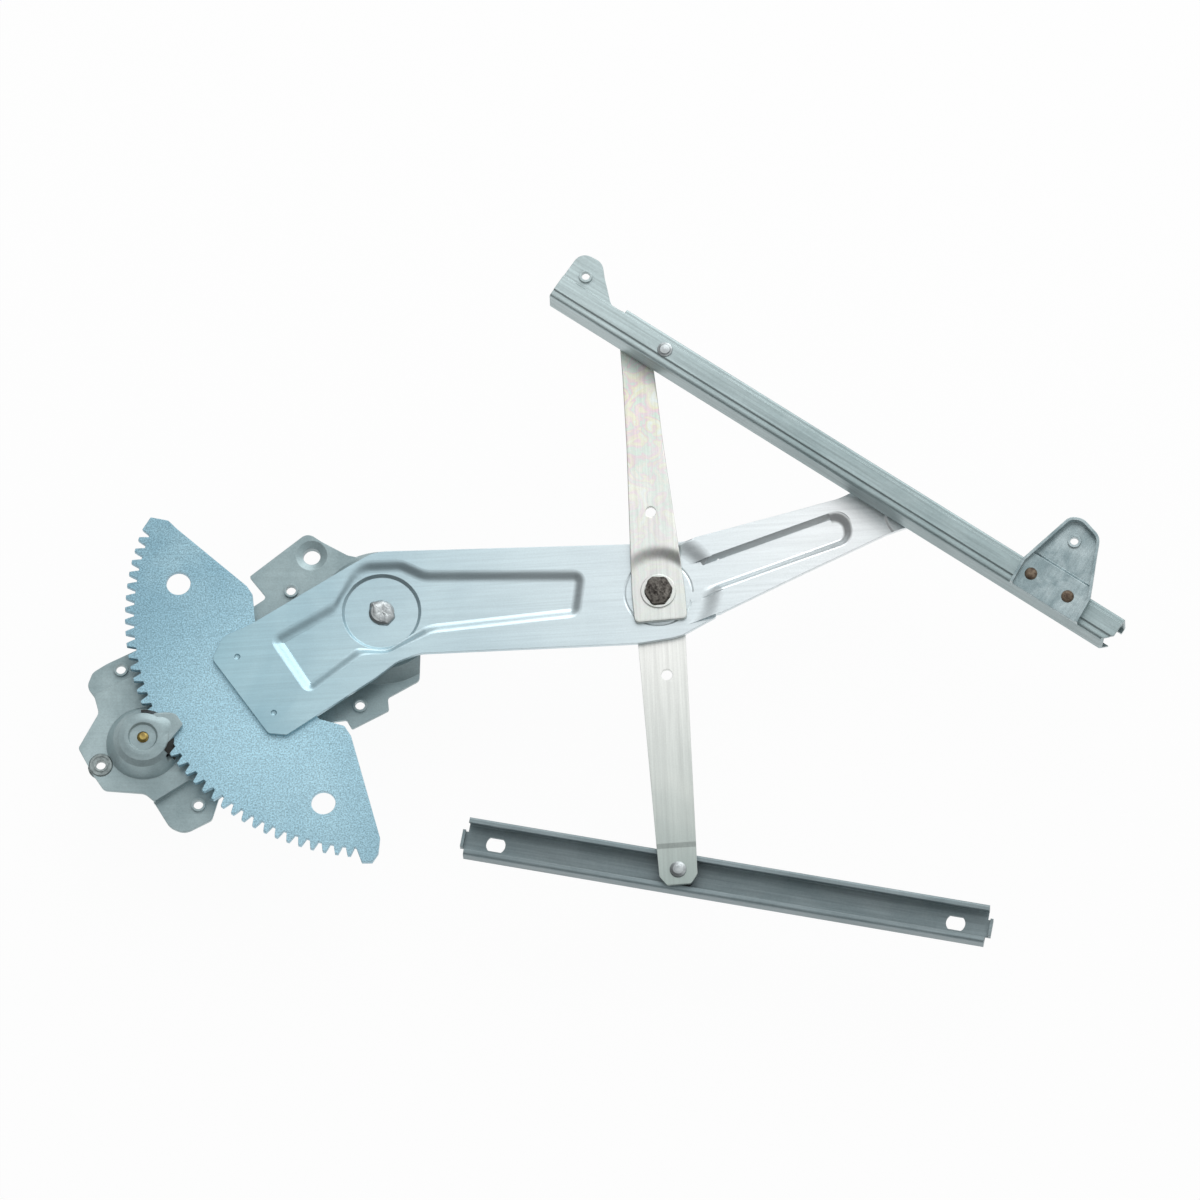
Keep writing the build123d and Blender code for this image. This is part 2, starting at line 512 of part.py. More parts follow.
with BuildPart() as pivot_bush:
    turn(main_pivot, [(shaft_radius + running_fit, 5.3), (bush_radius, 5.3), (bush_radius, dish_top),
                      (flange_radius, dish_top), (flange_radius, dish_top + bush_flange - 0.3),
                      (flange_radius - 0.3, dish_top + bush_flange),
                      (shaft_radius + running_fit, dish_top + bush_flange)])
pivot_bush.part.label = "pivot_bush"
export_step(pivot_bush.part, "parts/pivot_bush.step")

# Balance spring
# Flat strip wound in half rings, hooked to the dish outside and into the shaft's notch inside
spring_strip = 1.2
spring_pitch = 2.6
spring_halves = 12
spring_low = 0.4
spring_width = 4.0
last_half_radius = hook_radius - spring_strip / 2 - spring_pitch / 4
first_half_radius = last_half_radius - (spring_halves - 1) * spring_pitch / 2
tang_width = 1.2
tang_inner = 3.6

with BuildPart() as balance_spring:
    with BuildSketch(level(spring_low, main_pivot, hook_direction)) as strip:
        for half in range(spring_halves):
            side = -1 if half % 2 == 0 else 1
            middle = (side * spring_pitch / 4, 0)
            radius = first_half_radius + half * spring_pitch / 2
            start = 0 if half % 2 == 0 else 180
            with BuildLine():
                outer = CenterArc(middle, radius + spring_strip / 2, start, 180)
                inner = CenterArc(middle, radius - spring_strip / 2, start, 180)
                Line(outer @ 0, inner @ 0)
                Line(outer @ 1, inner @ 1)
            make_face()
        with Locations((hook_radius - spring_strip / 2, 2.75)):
            Rectangle(spring_strip, 5.5)
    extrude(strip.sketch, amount=spring_width)
    with BuildSketch(level(spring_low, main_pivot, hook_direction)) as tang:
        with Locations(((tang_inner + first_half_radius) / 2, -tang_width / 2)):
            Rectangle(first_half_radius - tang_inner, tang_width)
    extrude(tang.sketch, amount=shaft_notch_top - spring_low - 0.5)
balance_spring.part.label = "balance_spring"
export_step(balance_spring.part, "parts/balance_spring.step")

# Crank side
# Brake drum, its bearing, the splined crank spindle, the wrap spring and the pinion
drum_outer = 16.0
drum_inner = 14.6
drum_back = -9.0
drum_front = 4.0
drum_flange_radius = 17.6
drum_flange = 1.4
bearing_radius = 6.0
bearing_sleeve = 7.5
bearing_flange = 9.5
spindle_tip = -32.0
spline_count = 24
spline_outer = 6.0
spline_root = 5.4
wrap_radius = 13.4
wrap_wire = 1.6
wrap_pitch = 1.75
wrap_turns = 3.5
wrap_low = -3.4
spindle_pin = 3.5
tongue_inner = 9.4
tongue_outer = 12.0
pinion_tip = pinion_pitch_radius + module * (1 + profile_shift) - pinion_tip_trim
pinion_root = pinion_pitch_radius - module * (1.25 - profile_shift) - pinion_root_relief
hub_radius = 9.0
pinion_low = 9.8
pinion_high = sector_top + 0.4

with BuildPart() as clutch_drum:
    turn(pinion_axis, [(bearing_sleeve + running_fit, drum_back), (drum_outer - 2.0, drum_back),
                       (drum_outer, drum_back + 2.0), (drum_outer, drum_front - drum_flange),
                       (drum_flange_radius, drum_front - drum_flange), (drum_flange_radius, drum_front),
                       (drum_inner, drum_front), (drum_inner, drum_back + 2.4), (drum_inner - 0.8, drum_back + 1.6),
                       (bearing_sleeve + running_fit, drum_back + 1.6)])
clutch_drum.part.label = "clutch_drum"
export_step(clutch_drum.part, "parts/clutch_drum.step")

with BuildPart() as spindle_bush:
    turn(pinion_axis, [(bearing_radius + running_fit, drum_back - 1.6), (bearing_flange, drum_back - 1.6),
                       (bearing_flange, drum_back), (bearing_sleeve, drum_back), (bearing_sleeve, drum_back + 1.6),
                       (bearing_radius + running_fit, drum_back + 1.6)])
spindle_bush.part.label = "spindle_bush"
export_step(spindle_bush.part, "parts/spindle_bush.step")

with BuildPart() as crank_spindle:
    turn(pinion_axis, [(0, spindle_tip), (spline_root - 0.6, spindle_tip), (spline_root, spindle_tip + 0.8),
                       (spline_root, -20.0), (bearing_radius - 0.4, -19.0), (bearing_radius - 0.4, -11.4),
                       (bearing_radius, -10.9), (bearing_radius, -7.2), (12.0, -7.2), (12.0, -5.0),
                       (spindle_pin, -5.0), (spindle_pin, 0.2), (0, 0.2)])
    with BuildSketch(level(spindle_tip + 1.0, pinion_axis)) as splines:
        with PolarLocations(spline_root, spline_count):
            RegularPolygon(0.66, 4, rotation=45)
    extrude(splines.sketch, amount=-20.0 - spindle_tip - 1.0)
    # driver tongue between the ends of the wrap spring
    with BuildSketch(level(-5.0, pinion_axis, 90)) as tongue:
        with BuildLine():
            outer = CenterArc((0, 0), tongue_outer, -35, 70)
            inner = CenterArc((0, 0), tongue_inner, -35, 70)
            Line(outer @ 0, inner @ 0)
            Line(outer @ 1, inner @ 1)
        make_face()
    extrude(tongue.sketch, amount=7.0)
crank_spindle.part.label = "crank_spindle"
export_step(crank_spindle.part, "parts/crank_spindle.step")

with BuildPart() as brake_spring:
    with BuildLine(level(wrap_low, pinion_axis)) as coil:
        Helix(wrap_pitch, wrap_pitch * wrap_turns, wrap_radius)
    with BuildSketch(upright_along(polar(pinion_axis, wrap_radius, 0), 0)) as wire:
        with Locations((0, wrap_low)):
            Rectangle(wrap_wire, wrap_wire)
    sweep(wire.sketch, path=coil.wires()[0], is_frenet=True)
brake_spring.part.label = "brake_spring"
export_step(brake_spring.part, "parts/brake_spring.step")

with BuildPart() as pinion_gear:
    sector_phase = (first_tooth_angle - pinion_direction) / tooth_step
    nearest_offset = (sector_phase - round(sector_phase)) * tooth_step
    gap_direction = pinion_direction - 180 - nearest_offset * full_circle_teeth / pinion_teeth
    pinion_step = 360 / pinion_teeth
    turn(pinion_axis, [(0, -4.6), (hub_radius - 0.5, -4.6), (hub_radius, -4.1), (hub_radius, pinion_low),
                       (0, pinion_low)])
    with BuildSketch(level(pinion_low, pinion_axis)) as teeth:
        Circle(pinion_root)
        for number in range(pinion_teeth):
            middle = gap_direction + (number + 0.5) * pinion_step
            Polygon(*tooth(pinion_teeth, profile_shift, pinion_root - 0.5, pinion_tip, middle), align=None)
    extrude(teeth.sketch, amount=pinion_high - pinion_low)
    turn(pinion_axis, [(0, pinion_high - 0.1), (journal_radius, pinion_high - 0.1), (journal_radius, cap_top - 1.7),
                       (2.1, cap_top - 1.2), (2.1, cap_top - 0.4), (1.6, cap_top - 0.1), (0, cap_top - 0.1)])
    disc(pinion_axis, spindle_pin, -5.6, 0.7, mode=Mode.SUBTRACT)
pinion_gear.part.label = "pinion_gear"
export_step(pinion_gear.part, "parts/pinion_gear.step")

# Clinch nut
# Pressed into the pinion field from behind, its threaded barrel standing proud
with BuildPart() as clinch_nut:
    turn(nut_place, [(2.5, field_rise - 1.4), (nut_flange, field_rise - 1.4), (nut_flange, field_rise),
                     (nut_radius - 0.05, field_rise),
                     (nut_radius - 0.05, field_rise + base_sheet), (nut_radius - 0.5, field_rise + base_sheet + 0.5),
                     (4.4, field_rise + base_sheet + 0.5), (4.4, field_rise + base_sheet + 0.2),
                     (3.6, field_rise + base_sheet + 0.2), (3.6, field_rise + base_sheet + 0.7),
                     (2.5, field_rise + base_sheet + 0.7)])
clinch_nut.part.label = "clinch_nut"
export_step(clinch_nut.part, "parts/clinch_nut.step")

# Upper rollers
# Two equal rollers on headed studs, one at the tip of the lift arm, one at the upper equalizer arm
lip_low = raised_arm_top + lip_gap
lip_high = lip_low + upper_sheet
roller_low = lip_high + 0.6
roller_high = roller_low + 9.6
roller_radius = 5.7
stud_journal = 3.0
stud_shoulder = 4.0
stud_head = 4.5
shoulder_top = roller_low - 0.2
head_low = roller_high + 0.2
head_high = head_low + 1.0
tail_height = 1.1
tail_radius = 5.4


def upper_roller_profile():
    """Half section of an upper roller round its stud."""
    bore = stud_journal + running_fit
    return [(bore, roller_low), (roller_radius - 0.8, roller_low), (roller_radius, roller_low + 0.8),
            (roller_radius, roller_high - 0.8), (roller_radius - 0.8, roller_high), (bore, roller_high)]


def upper_stud_profile(arm_top, arm_back):
    """Half section of an upper roller stud staked in an arm."""
    return [(0, arm_back - tail_height), (tail_radius - 1.2, arm_back - tail_height),
            (tail_radius, arm_back - 0.4), (tail_radius, arm_back), (stud_neck, arm_back),
            (stud_neck, arm_top), (stud_shoulder, arm_top), (stud_shoulder, shoulder_top),
            (stud_journal, shoulder_top), (stud_journal, head_low), (stud_head, head_low),
            (stud_head, head_high - 0.4), (stud_head - 0.4, head_high), (0, head_high)]


with BuildPart() as lift_roller:
    turn(lift_pin, upper_roller_profile())
lift_roller.part.label = "lift_roller"
export_step(lift_roller.part, "parts/lift_roller.step")

with BuildPart() as upper_roller:
    turn(upper_pin, upper_roller_profile())
upper_roller.part.label = "upper_roller"
export_step(upper_roller.part, "parts/upper_roller.step")

with BuildPart() as lift_roller_stud:
    turn(lift_pin, upper_stud_profile(pad_top, pad_top - lift_sheet))
lift_roller_stud.part.label = "lift_roller_stud"
export_step(lift_roller_stud.part, "parts/lift_roller_stud.step")

with BuildPart() as upper_roller_stud:
    turn(upper_pin, upper_stud_profile(raised_arm_top, raised_arm_top - equalizer_sheet))
upper_roller_stud.part.label = "upper_roller_stud"
export_step(upper_roller_stud.part, "parts/upper_roller_stud.step")

# Lower roller
# Wider roller with a sunk stud head, and a spacing washer between it and the arm
guide_half = 10.0
guide_height = 9.6
guide_opening = 7.0
lower_roller_radius = guide_half - lower_sheet - roller_play
lower_roller_low = lower_sheet + side_play
lower_roller_high = guide_height - lower_sheet - side_play
lower_journal = 3.5
lower_head = 4.6
lower_head_low = 2.2
lower_head_high = 3.5
lower_washer_radius = 6.0

with BuildPart() as lower_roller:
    turn(lower_pin, [(lower_head + 0.4, lower_roller_low), (lower_roller_radius - 0.6, lower_roller_low),
                     (lower_roller_radius, lower_roller_low + 0.6), (lower_roller_radius, lower_roller_high - 0.6),
                     (lower_roller_radius - 0.6, lower_roller_high),
                     (lower_journal + running_fit, lower_roller_high),
                     (lower_journal + running_fit, lower_head_high + 0.2),
                     (lower_head + 0.4, lower_head_high + 0.2)])
lower_roller.part.label = "lower_roller"
export_step(lower_roller.part, "parts/lower_roller.step")

with BuildPart() as lower_roller_stud:
    turn(lower_pin, [(0, lower_head_low), (lower_head - 0.3, lower_head_low), (lower_head, lower_head_low + 0.3),
                     (lower_head, lower_head_high), (lower_journal, lower_head_high), (lower_journal, foot_back),
                     (lower_neck, foot_back), (lower_neck, foot_top), (4.2, foot_top), (4.0, foot_top + 0.8),
                     (2.6, foot_top + 1.6), (1.4, foot_top + 1.8), (0, foot_top + 1.8)])
lower_roller_stud.part.label = "lower_roller_stud"
export_step(lower_roller_stud.part, "parts/lower_roller_stud.step")

with BuildPart() as lower_washer:
    turn(lower_pin, [(lower_journal + running_fit, lower_roller_high + 0.2),
                     (lower_washer_radius, lower_roller_high + 0.2), (lower_washer_radius, foot_back - 0.2),
                     (lower_journal + running_fit, foot_back - 0.2)])
lower_washer.part.label = "lower_washer"
export_step(lower_washer.part, "parts/lower_washer.step")

# Upper channel
# Rolled glass channel with a raised middle band and a fixing tab at its left end
channel_left = -46.5
channel_right = 290.0
channel_web_top = head_high + 1.3 + upper_sheet
web_half = 7.6
lip_half = 8.2
lip_opening = 4.5
band_high = 5.3
band_low = -4.2
band_rise = 0.6
stop_along = 18.5
bracket_rivets_along = [237.9, 259.7]
bracket_rivet_across = 1.4
rivet_shank = 1.9
stop_neck = 2.4
tab_hole = (-36.8, 10.7)
tab_hole_radius = 2.1
tab_burr = 3.4
tab_outline = [
    (-46.5, -2.0), (-46.3, 20.6), (-34.0, 21.6), (-28.5, 15.4), (-17.2, 4.6), (-9.5, 5.6), (-9.5, -2.0)]
tab_corners = [0, 9, 7, 6, 6, 0.5, 0]
band_top = channel_web_top + band_rise
channel_section = [
    (lip_opening, lip_low), (lip_half, lip_low), (web_half, channel_web_top), (band_high, channel_web_top),
    (band_high - 0.8, band_top), (band_low + 0.8, band_top), (band_low, channel_web_top),
    (-web_half, channel_web_top), (-lip_half, lip_low), (-lip_opening, lip_low), (-lip_opening, lip_high),
    (upper_sheet - lip_half, lip_high), (upper_sheet - web_half, channel_web_top - upper_sheet),
    (band_low - 0.4, channel_web_top - upper_sheet), (band_low + 0.4, band_top - upper_sheet),
    (band_high - 0.4, band_top - upper_sheet), (band_high + 0.4, channel_web_top - upper_sheet),
    (web_half - upper_sheet, channel_web_top - upper_sheet), (lip_half - upper_sheet, lip_high),
    (lip_opening, lip_high)]
section_corners = [0, 1.8, 1.8, 0, 0, 0, 0, 1.8, 1.8, 0, 0, 0.3, 0.3, 0, 0, 0, 0, 0.3, 0.3, 0]

with BuildPart() as upper_channel:
    with BuildSketch(cross_section(polar(upper_pin, channel_left, channel_direction), channel_direction)) as section:
        with BuildLine():
            draw_rounded(channel_section, section_corners)
        make_face()
    extrude(section.sketch, amount=channel_right - channel_left)
    with BuildSketch(level(lip_low - 1, upper_pin, channel_direction)) as missing:
        with Locations((channel_left - 4, 5.2)):
            Rectangle(-9.5 - channel_left + 4, 6, align=(Align.MIN, Align.MIN))
        with Locations((channel_right, -lip_half)):
            Rectangle(8, 8, rotation=45)
    extrude(missing.sketch, amount=band_top - lip_low + 2, mode=Mode.SUBTRACT)
    press(level(channel_web_top - upper_sheet, upper_pin, channel_direction), tab_outline, tab_corners, upper_sheet)
    with BuildSketch(level(channel_web_top, upper_pin, channel_direction)) as burr:
        with Locations(tab_hole):
            Circle(tab_burr)
    extrude(burr.sketch, amount=1.2)
    with BuildSketch(level(lip_high, upper_pin, channel_direction)) as holes:
        with Locations(tab_hole):
            Circle(tab_hole_radius)
        with Locations((stop_along, 0)):
            Circle(stop_neck + running_fit)
        with Locations(*[(along, bracket_rivet_across) for along in bracket_rivets_along]):
            Circle(rivet_shank + running_fit)
    extrude(holes.sketch, amount=band_top - lip_high + 3, mode=Mode.SUBTRACT)
upper_channel.part.label = "upper_channel"
export_step(upper_channel.part, "parts/upper_channel.step")

with BuildPart() as stop_rivet:
    stop_place = polar(upper_pin, stop_along, channel_direction)
    stop_seat = band_top - upper_sheet
    turn(stop_place, [(0, roller_high - 4.0), (2.6, roller_high - 4.0), (3.0, roller_high - 3.6), (3.0, stop_seat),
                      (stop_neck, stop_seat), (stop_neck, band_top), (3.9, band_top), (3.7, band_top + 0.5),
                      (2.9, band_top + 0.8), (2.5, band_top + 1.3), (0, band_top + 1.5)])
stop_rivet.part.label = "stop_rivet"
export_step(stop_rivet.part, "parts/stop_rivet.step")

# Glass bracket
# Folded plate with a rim on three sides, riveted over the channel's right end
bracket_base = band_top
bracket_set_back = 1.5
bracket_rim = 4.0
bracket_outline = [
    (231.8, -12.0), (230.3, 5.0), (237.9, 36.6), (244.0, 39.6), (256.6, 36.0), (259.8, 28.6), (270.2, 6.4),
    (271.9, -12.0)]
bracket_corners = [0, 6, 6, 8, 7, 8, 9, 0]
bracket_end = -8.0
bracket_hole = (246.4, 27.9)
bracket_floor = [
    (-12.0, bracket_base), (10.9, bracket_base), (12.4, bracket_base - bracket_set_back),
    (45.0, bracket_base - bracket_set_back), (45.0, bracket_base - bracket_set_back + bracket_sheet),
    (12.9, bracket_base - bracket_set_back + bracket_sheet), (11.4, bracket_base + bracket_sheet),
    (-12.0, bracket_base + bracket_sheet)]
bracket_underside = [
    (-13.0, bracket_base - 4.0), (12.4, bracket_base - 4.0), (12.4, bracket_base - bracket_set_back),
    (10.9, bracket_base), (-13.0, bracket_base)]

with BuildPart() as glass_bracket:
    bracket_side = cross_section(polar(upper_pin, 226.0, channel_direction), channel_direction)
    with BuildSketch(bracket_side) as floor:
        Polygon(*bracket_floor, align=None)
    extrude(floor.sketch, amount=50)
    press(level(bracket_base - 4, upper_pin, channel_direction), bracket_outline, bracket_corners, 12,
          mode=Mode.INTERSECT)
    with BuildSketch(level(bracket_base - bracket_set_back, upper_pin, channel_direction)) as rim:
        with BuildLine():
            draw_rounded(bracket_outline, bracket_corners)
        make_face()
        offset(amount=-bracket_sheet, mode=Mode.SUBTRACT)
    extrude(rim.sketch, amount=bracket_set_back + bracket_rim)
    with BuildSketch(bracket_side) as underside:
        Polygon(*bracket_underside, align=None)
    extrude(underside.sketch, amount=50, mode=Mode.SUBTRACT)
    with BuildSketch(level(bracket_base - 4, upper_pin, channel_direction)) as end:
        with Locations((250, bracket_end)):
            Rectangle(60, 10, align=(Align.CENTER, Align.MAX))
    extrude(end.sketch, amount=12, mode=Mode.SUBTRACT)
    with BuildSketch(level(bracket_base, upper_pin, channel_direction)) as burr:
        with Locations(bracket_hole):
            Circle(tab_burr)
    extrude(burr.sketch, amount=1.2)
    with BuildSketch(level(bracket_base - 4, upper_pin, channel_direction)) as holes:
        with Locations(bracket_hole):
            Circle(tab_hole_radius)
        with Locations(*[(along, bracket_rivet_across) for along in bracket_rivets_along]):
            Circle(rivet_shank + running_fit)
    extrude(holes.sketch, amount=12, mode=Mode.SUBTRACT)
glass_bracket.part.label = "glass_bracket"
export_step(glass_bracket.part, "parts/glass_bracket.step")

with BuildPart() as bracket_rivets:
    for along in bracket_rivets_along:
        rivet_place = polar(polar(upper_pin, along, channel_direction), bracket_rivet_across, channel_direction + 90)
        rivet_seat = band_top - upper_sheet
        rivet_top = bracket_base + bracket_sheet
        turn(rivet_place, [(0, rivet_seat - 0.9), (2.2, rivet_seat - 0.9), (2.9, rivet_seat - 0.4), (2.9, rivet_seat),
                           (rivet_shank, rivet_seat), (rivet_shank, rivet_top), (3.2, rivet_top),
                           (3.1, rivet_top + 0.5), (2.4, rivet_top + 1.1), (1.2, rivet_top + 1.5), (0, rivet_top + 1.6)])
bracket_rivets.part.label = "bracket_rivets"
export_step(bracket_rivets.part, "parts/bracket_rivets.step")

# Lower channel
# Guide channel bolted to the door, with a slot near each end and upturned end stops
guide_left = -107.5
guide_right = 156.0
guide_slots = [-92.9, 140.3]
slot_length = 9.7
slot_width = 7.2
stop_tab_width = 9.0
stop_tab_reach = 2.7
stop_tab_height = 4.5
guide_section = [
    (guide_opening, guide_height), (guide_half, guide_height), (guide_half, 0), (-guide_half, 0),
    (-guide_half, guide_height), (-guide_opening, guide_height), (-guide_opening, guide_height - lower_sheet),
    (lower_sheet - guide_half, guide_height - lower_sheet), (lower_sheet - guide_half, lower_sheet),
    (guide_half - lower_sheet, lower_sheet), (guide_half - lower_sheet, guide_height - lower_sheet),
    (guide_opening, guide_height - lower_sheet)]
guide_corners = [0, 2, 2, 2, 2, 0, 0, 0.5, 0.5, 0.5, 0.5, 0]

with BuildPart() as lower_channel:
    with BuildSketch(cross_section(polar(lower_pin, guide_left, guide_direction), guide_direction)) as section:
        with BuildLine():
            draw_rounded(guide_section, guide_corners)
        make_face()
    extrude(section.sketch, amount=guide_right - guide_left)
    for end, way in [(guide_left, -1), (guide_right, 1)]:
        with BuildSketch(level(0, lower_pin, guide_direction)) as stop:
            with Locations((end + way * (stop_tab_reach - 1) / 2, 0)):
                Rectangle(stop_tab_reach + 1, stop_tab_width)
        extrude(stop.sketch, amount=lower_sheet)
        with BuildSketch(level(0, lower_pin, guide_direction)) as upturn:
            with Locations((end + way * (stop_tab_reach - lower_sheet / 2), 0)):
                Rectangle(lower_sheet, stop_tab_width)
        extrude(upturn.sketch, amount=stop_tab_height)
    with BuildSketch(level(-1, lower_pin, guide_direction)) as slots:
        with Locations(*[(along, 0) for along in guide_slots]):
            Circle(slot_length / 2)
        with BuildSketch(mode=Mode.INTERSECT):
            Rectangle(2 * guide_right, slot_width)
    extrude(slots.sketch, amount=lower_sheet + 2, mode=Mode.SUBTRACT)
lower_channel.part.label = "lower_channel"
export_step(lower_channel.part, "parts/lower_channel.step")
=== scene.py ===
import json
import math

import bpy
import numpy as np
from mathutils import Matrix, Vector


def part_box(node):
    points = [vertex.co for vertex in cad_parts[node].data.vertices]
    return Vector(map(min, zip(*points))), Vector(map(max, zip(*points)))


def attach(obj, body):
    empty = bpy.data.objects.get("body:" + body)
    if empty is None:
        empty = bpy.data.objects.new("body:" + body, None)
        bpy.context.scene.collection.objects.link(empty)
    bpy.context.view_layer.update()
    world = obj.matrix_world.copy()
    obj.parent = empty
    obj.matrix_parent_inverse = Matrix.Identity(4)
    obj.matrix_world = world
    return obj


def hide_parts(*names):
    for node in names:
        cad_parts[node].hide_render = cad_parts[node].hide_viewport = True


# window regulator, lying with its glass side up; metres, z up
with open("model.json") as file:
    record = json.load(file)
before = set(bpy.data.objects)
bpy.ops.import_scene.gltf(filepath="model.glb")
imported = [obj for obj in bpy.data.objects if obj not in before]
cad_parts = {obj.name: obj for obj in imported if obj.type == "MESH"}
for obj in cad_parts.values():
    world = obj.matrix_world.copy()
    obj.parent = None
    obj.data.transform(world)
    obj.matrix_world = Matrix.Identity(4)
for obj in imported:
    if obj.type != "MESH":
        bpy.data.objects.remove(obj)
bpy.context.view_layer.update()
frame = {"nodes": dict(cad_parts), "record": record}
nodes = frame["nodes"]
joints = {joint["name"]: joint for joint in frame["record"]["behaviour"]["joints"]}
mm = 0.001
print("frame loaded:", len(nodes), "nodes")


# small helpers
def jointPlace(name):
    return np.array(joints[name]["pos_m"], float)


def topOf(node):
    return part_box(node)[1][2]


def directionAngle(name):
    x, y, z = joints[name]["axis"]
    return math.atan2(y, x)


# a grid of points from two parameters becomes a mesh; rows and columns can close on themselves
def surfaceMesh(name, points, closeRows=False, closeColumns=False):
    rows, columns = points.shape[:2]
    number = np.arange(rows * columns).reshape(rows, columns)
    if closeRows:
        number = np.vstack([number, number[:1]])
    if closeColumns:
        number = np.hstack([number, number[:, :1]])
    a, b = number[:-1, :-1], number[:-1, 1:]
    c, d = number[1:, 1:], number[1:, :-1]
    quads = np.stack([a, b, c, d], axis=-1).reshape(-1, 4)
    mesh = bpy.data.meshes.new(name)
    mesh.from_pydata(points.reshape(-1, 3).tolist(), [], quads.tolist())
    mesh.polygons.foreach_set("use_smooth", np.ones(len(quads), dtype=bool))
    mesh.update()
    piece = bpy.data.objects.new(name, mesh)
    bpy.context.scene.collection.objects.link(piece)
    return piece


def finishPiece(piece, material, body):
    piece.data.materials.append(material)
    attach(piece, body)


# shader groups shared by the finishes
def newGroup(name, inputs, outputs):
    group = bpy.data.node_groups.new(name, "ShaderNodeTree")
    for label, kind, value in inputs:
        socket = group.interface.new_socket(name=label, in_out="INPUT", socket_type=kind)
        if value is not None:
            socket.default_value = value
    for label, kind in outputs:
        group.interface.new_socket(name=label, in_out="OUTPUT", socket_type=kind)
    return group, group.nodes.new("NodeGroupInput"), group.nodes.new("NodeGroupOutput")


def addNode(tree, kind, **settings):
    node = tree.nodes.new(kind)
    for key, value in settings.items():
        if key == "inputs":
            for socket, amount in value.items():
                node.inputs[socket].default_value = amount
        else:
            setattr(node, key, value)
    return node


def addRamp(tree, stops):
    node = tree.nodes.new("ShaderNodeValToRGB")
    ramp = node.color_ramp
    while len(ramp.elements) < len(stops):
        ramp.elements.new(0.5)
    for element, (place, colour) in zip(ramp.elements, stops):
        element.position = place
        element.color = (*colour, 1) if len(colour) == 3 else colour
    return node


# the same ramp in greys: each value is repeated in all three channels
def addGreyRamp(tree, places, values):
    return addRamp(tree, [(place, (value,) * 3) for place, value in zip(places, values)])


# edgeRound: softened normal at sharp edges, and how strongly a point sits on such an edge
def makeEdgeRound():
    group, source, result = newGroup(
        "edgeRound",
        [("Radius", "NodeSocketFloat", 0.0004), ("Reach", "NodeSocketFloat", 3.0)],
        [("Normal", "NodeSocketVector"), ("Edge", "NodeSocketFloat")],
    )
    links = group.links
    bevel = addNode(group, "ShaderNodeBevel", samples=4)
    geometry = addNode(group, "ShaderNodeNewGeometry")
    dot = addNode(group, "ShaderNodeVectorMath", operation="DOT_PRODUCT")
    turned = addNode(group, "ShaderNodeMath", operation="SUBTRACT", inputs={0: 1.0})
    raised = addNode(group, "ShaderNodeMath", operation="MULTIPLY", use_clamp=True)
    links.new(source.outputs["Radius"], bevel.inputs["Radius"])
    links.new(bevel.outputs["Normal"], dot.inputs[0])
    links.new(geometry.outputs["Normal"], dot.inputs[1])
    links.new(dot.outputs["Value"], turned.inputs[1])
    links.new(turned.outputs[0], raised.inputs[0])
    links.new(source.outputs["Reach"], raised.inputs[1])
    links.new(bevel.outputs["Normal"], result.inputs["Normal"])
    links.new(raised.outputs[0], result.inputs["Edge"])
    return group


# zincClouds: broad clouds, fine crystal speckle and drawn grain of plated sheet, as three masks
def makeZincClouds():
    group, source, result = newGroup(
        "zincClouds",
        [
            ("Place", "NodeSocketVector", None),
            ("Cloud size", "NodeSocketFloat", 30.0),
            ("Speckle size", "NodeSocketFloat", 900.0),
            ("Grain size", "NodeSocketFloat", 700.0),
        ],
        [("Cloud", "NodeSocketFloat"), ("Speckle", "NodeSocketFloat"), ("Grain", "NodeSocketFloat")],
    )
    links = group.links
    cloud = addNode(group, "ShaderNodeTexNoise", inputs={"Detail": 4.0, "Roughness": 0.6, "Distortion": 0.6})
    speckle = addNode(group, "ShaderNodeTexNoise", inputs={"Detail": 2.0, "Roughness": 0.75})
    stretch = addNode(group, "ShaderNodeVectorMath", operation="MULTIPLY")
    stretch.inputs[1].default_value = (0.025, 1.0, 1.0)
    grain = addNode(group, "ShaderNodeTexNoise", inputs={"Detail": 3.0, "Roughness": 0.7})
    for node, size in ((cloud, "Cloud size"), (speckle, "Speckle size")):
        links.new(source.outputs["Place"], node.inputs["Vector"])
        links.new(source.outputs[size], node.inputs["Scale"])
    links.new(source.outputs["Place"], stretch.inputs[0])
    links.new(stretch.outputs[0], grain.inputs["Vector"])
    links.new(source.outputs["Grain size"], grain.inputs["Scale"])
    links.new(cloud.outputs["Fac"], result.inputs["Cloud"])
    links.new(speckle.outputs["Fac"], result.inputs["Speckle"])
    links.new(grain.outputs["Fac"], result.inputs["Grain"])
    return group


# nearness: 1 at a centre, falling evenly to 0 at a reach from it
def makeNearness():
    group, source, result = newGroup(
        "nearness",
        [
            ("Place", "NodeSocketVector", None),
            ("Centre", "NodeSocketVector", None),
            ("Reach", "NodeSocketFloat", 0.1),
        ],
        [("Mask", "NodeSocketFloat")],
    )
    links = group.links
    away = addNode(group, "ShaderNodeVectorMath", operation="DISTANCE")
    fade = addNode(group, "ShaderNodeMath", operation="DIVIDE")
    near = addNode(group, "ShaderNodeMath", operation="SUBTRACT", use_clamp=True, inputs={0: 1.0})
    links.new(source.outputs["Place"], away.inputs[0])
    links.new(source.outputs["Centre"], away.inputs[1])
    links.new(away.outputs["Value"], fade.inputs[0])
    links.new(source.outputs["Reach"], fade.inputs[1])
    links.new(fade.outputs[0], near.inputs[1])
    links.new(near.outputs[0], result.inputs["Mask"])
    return group


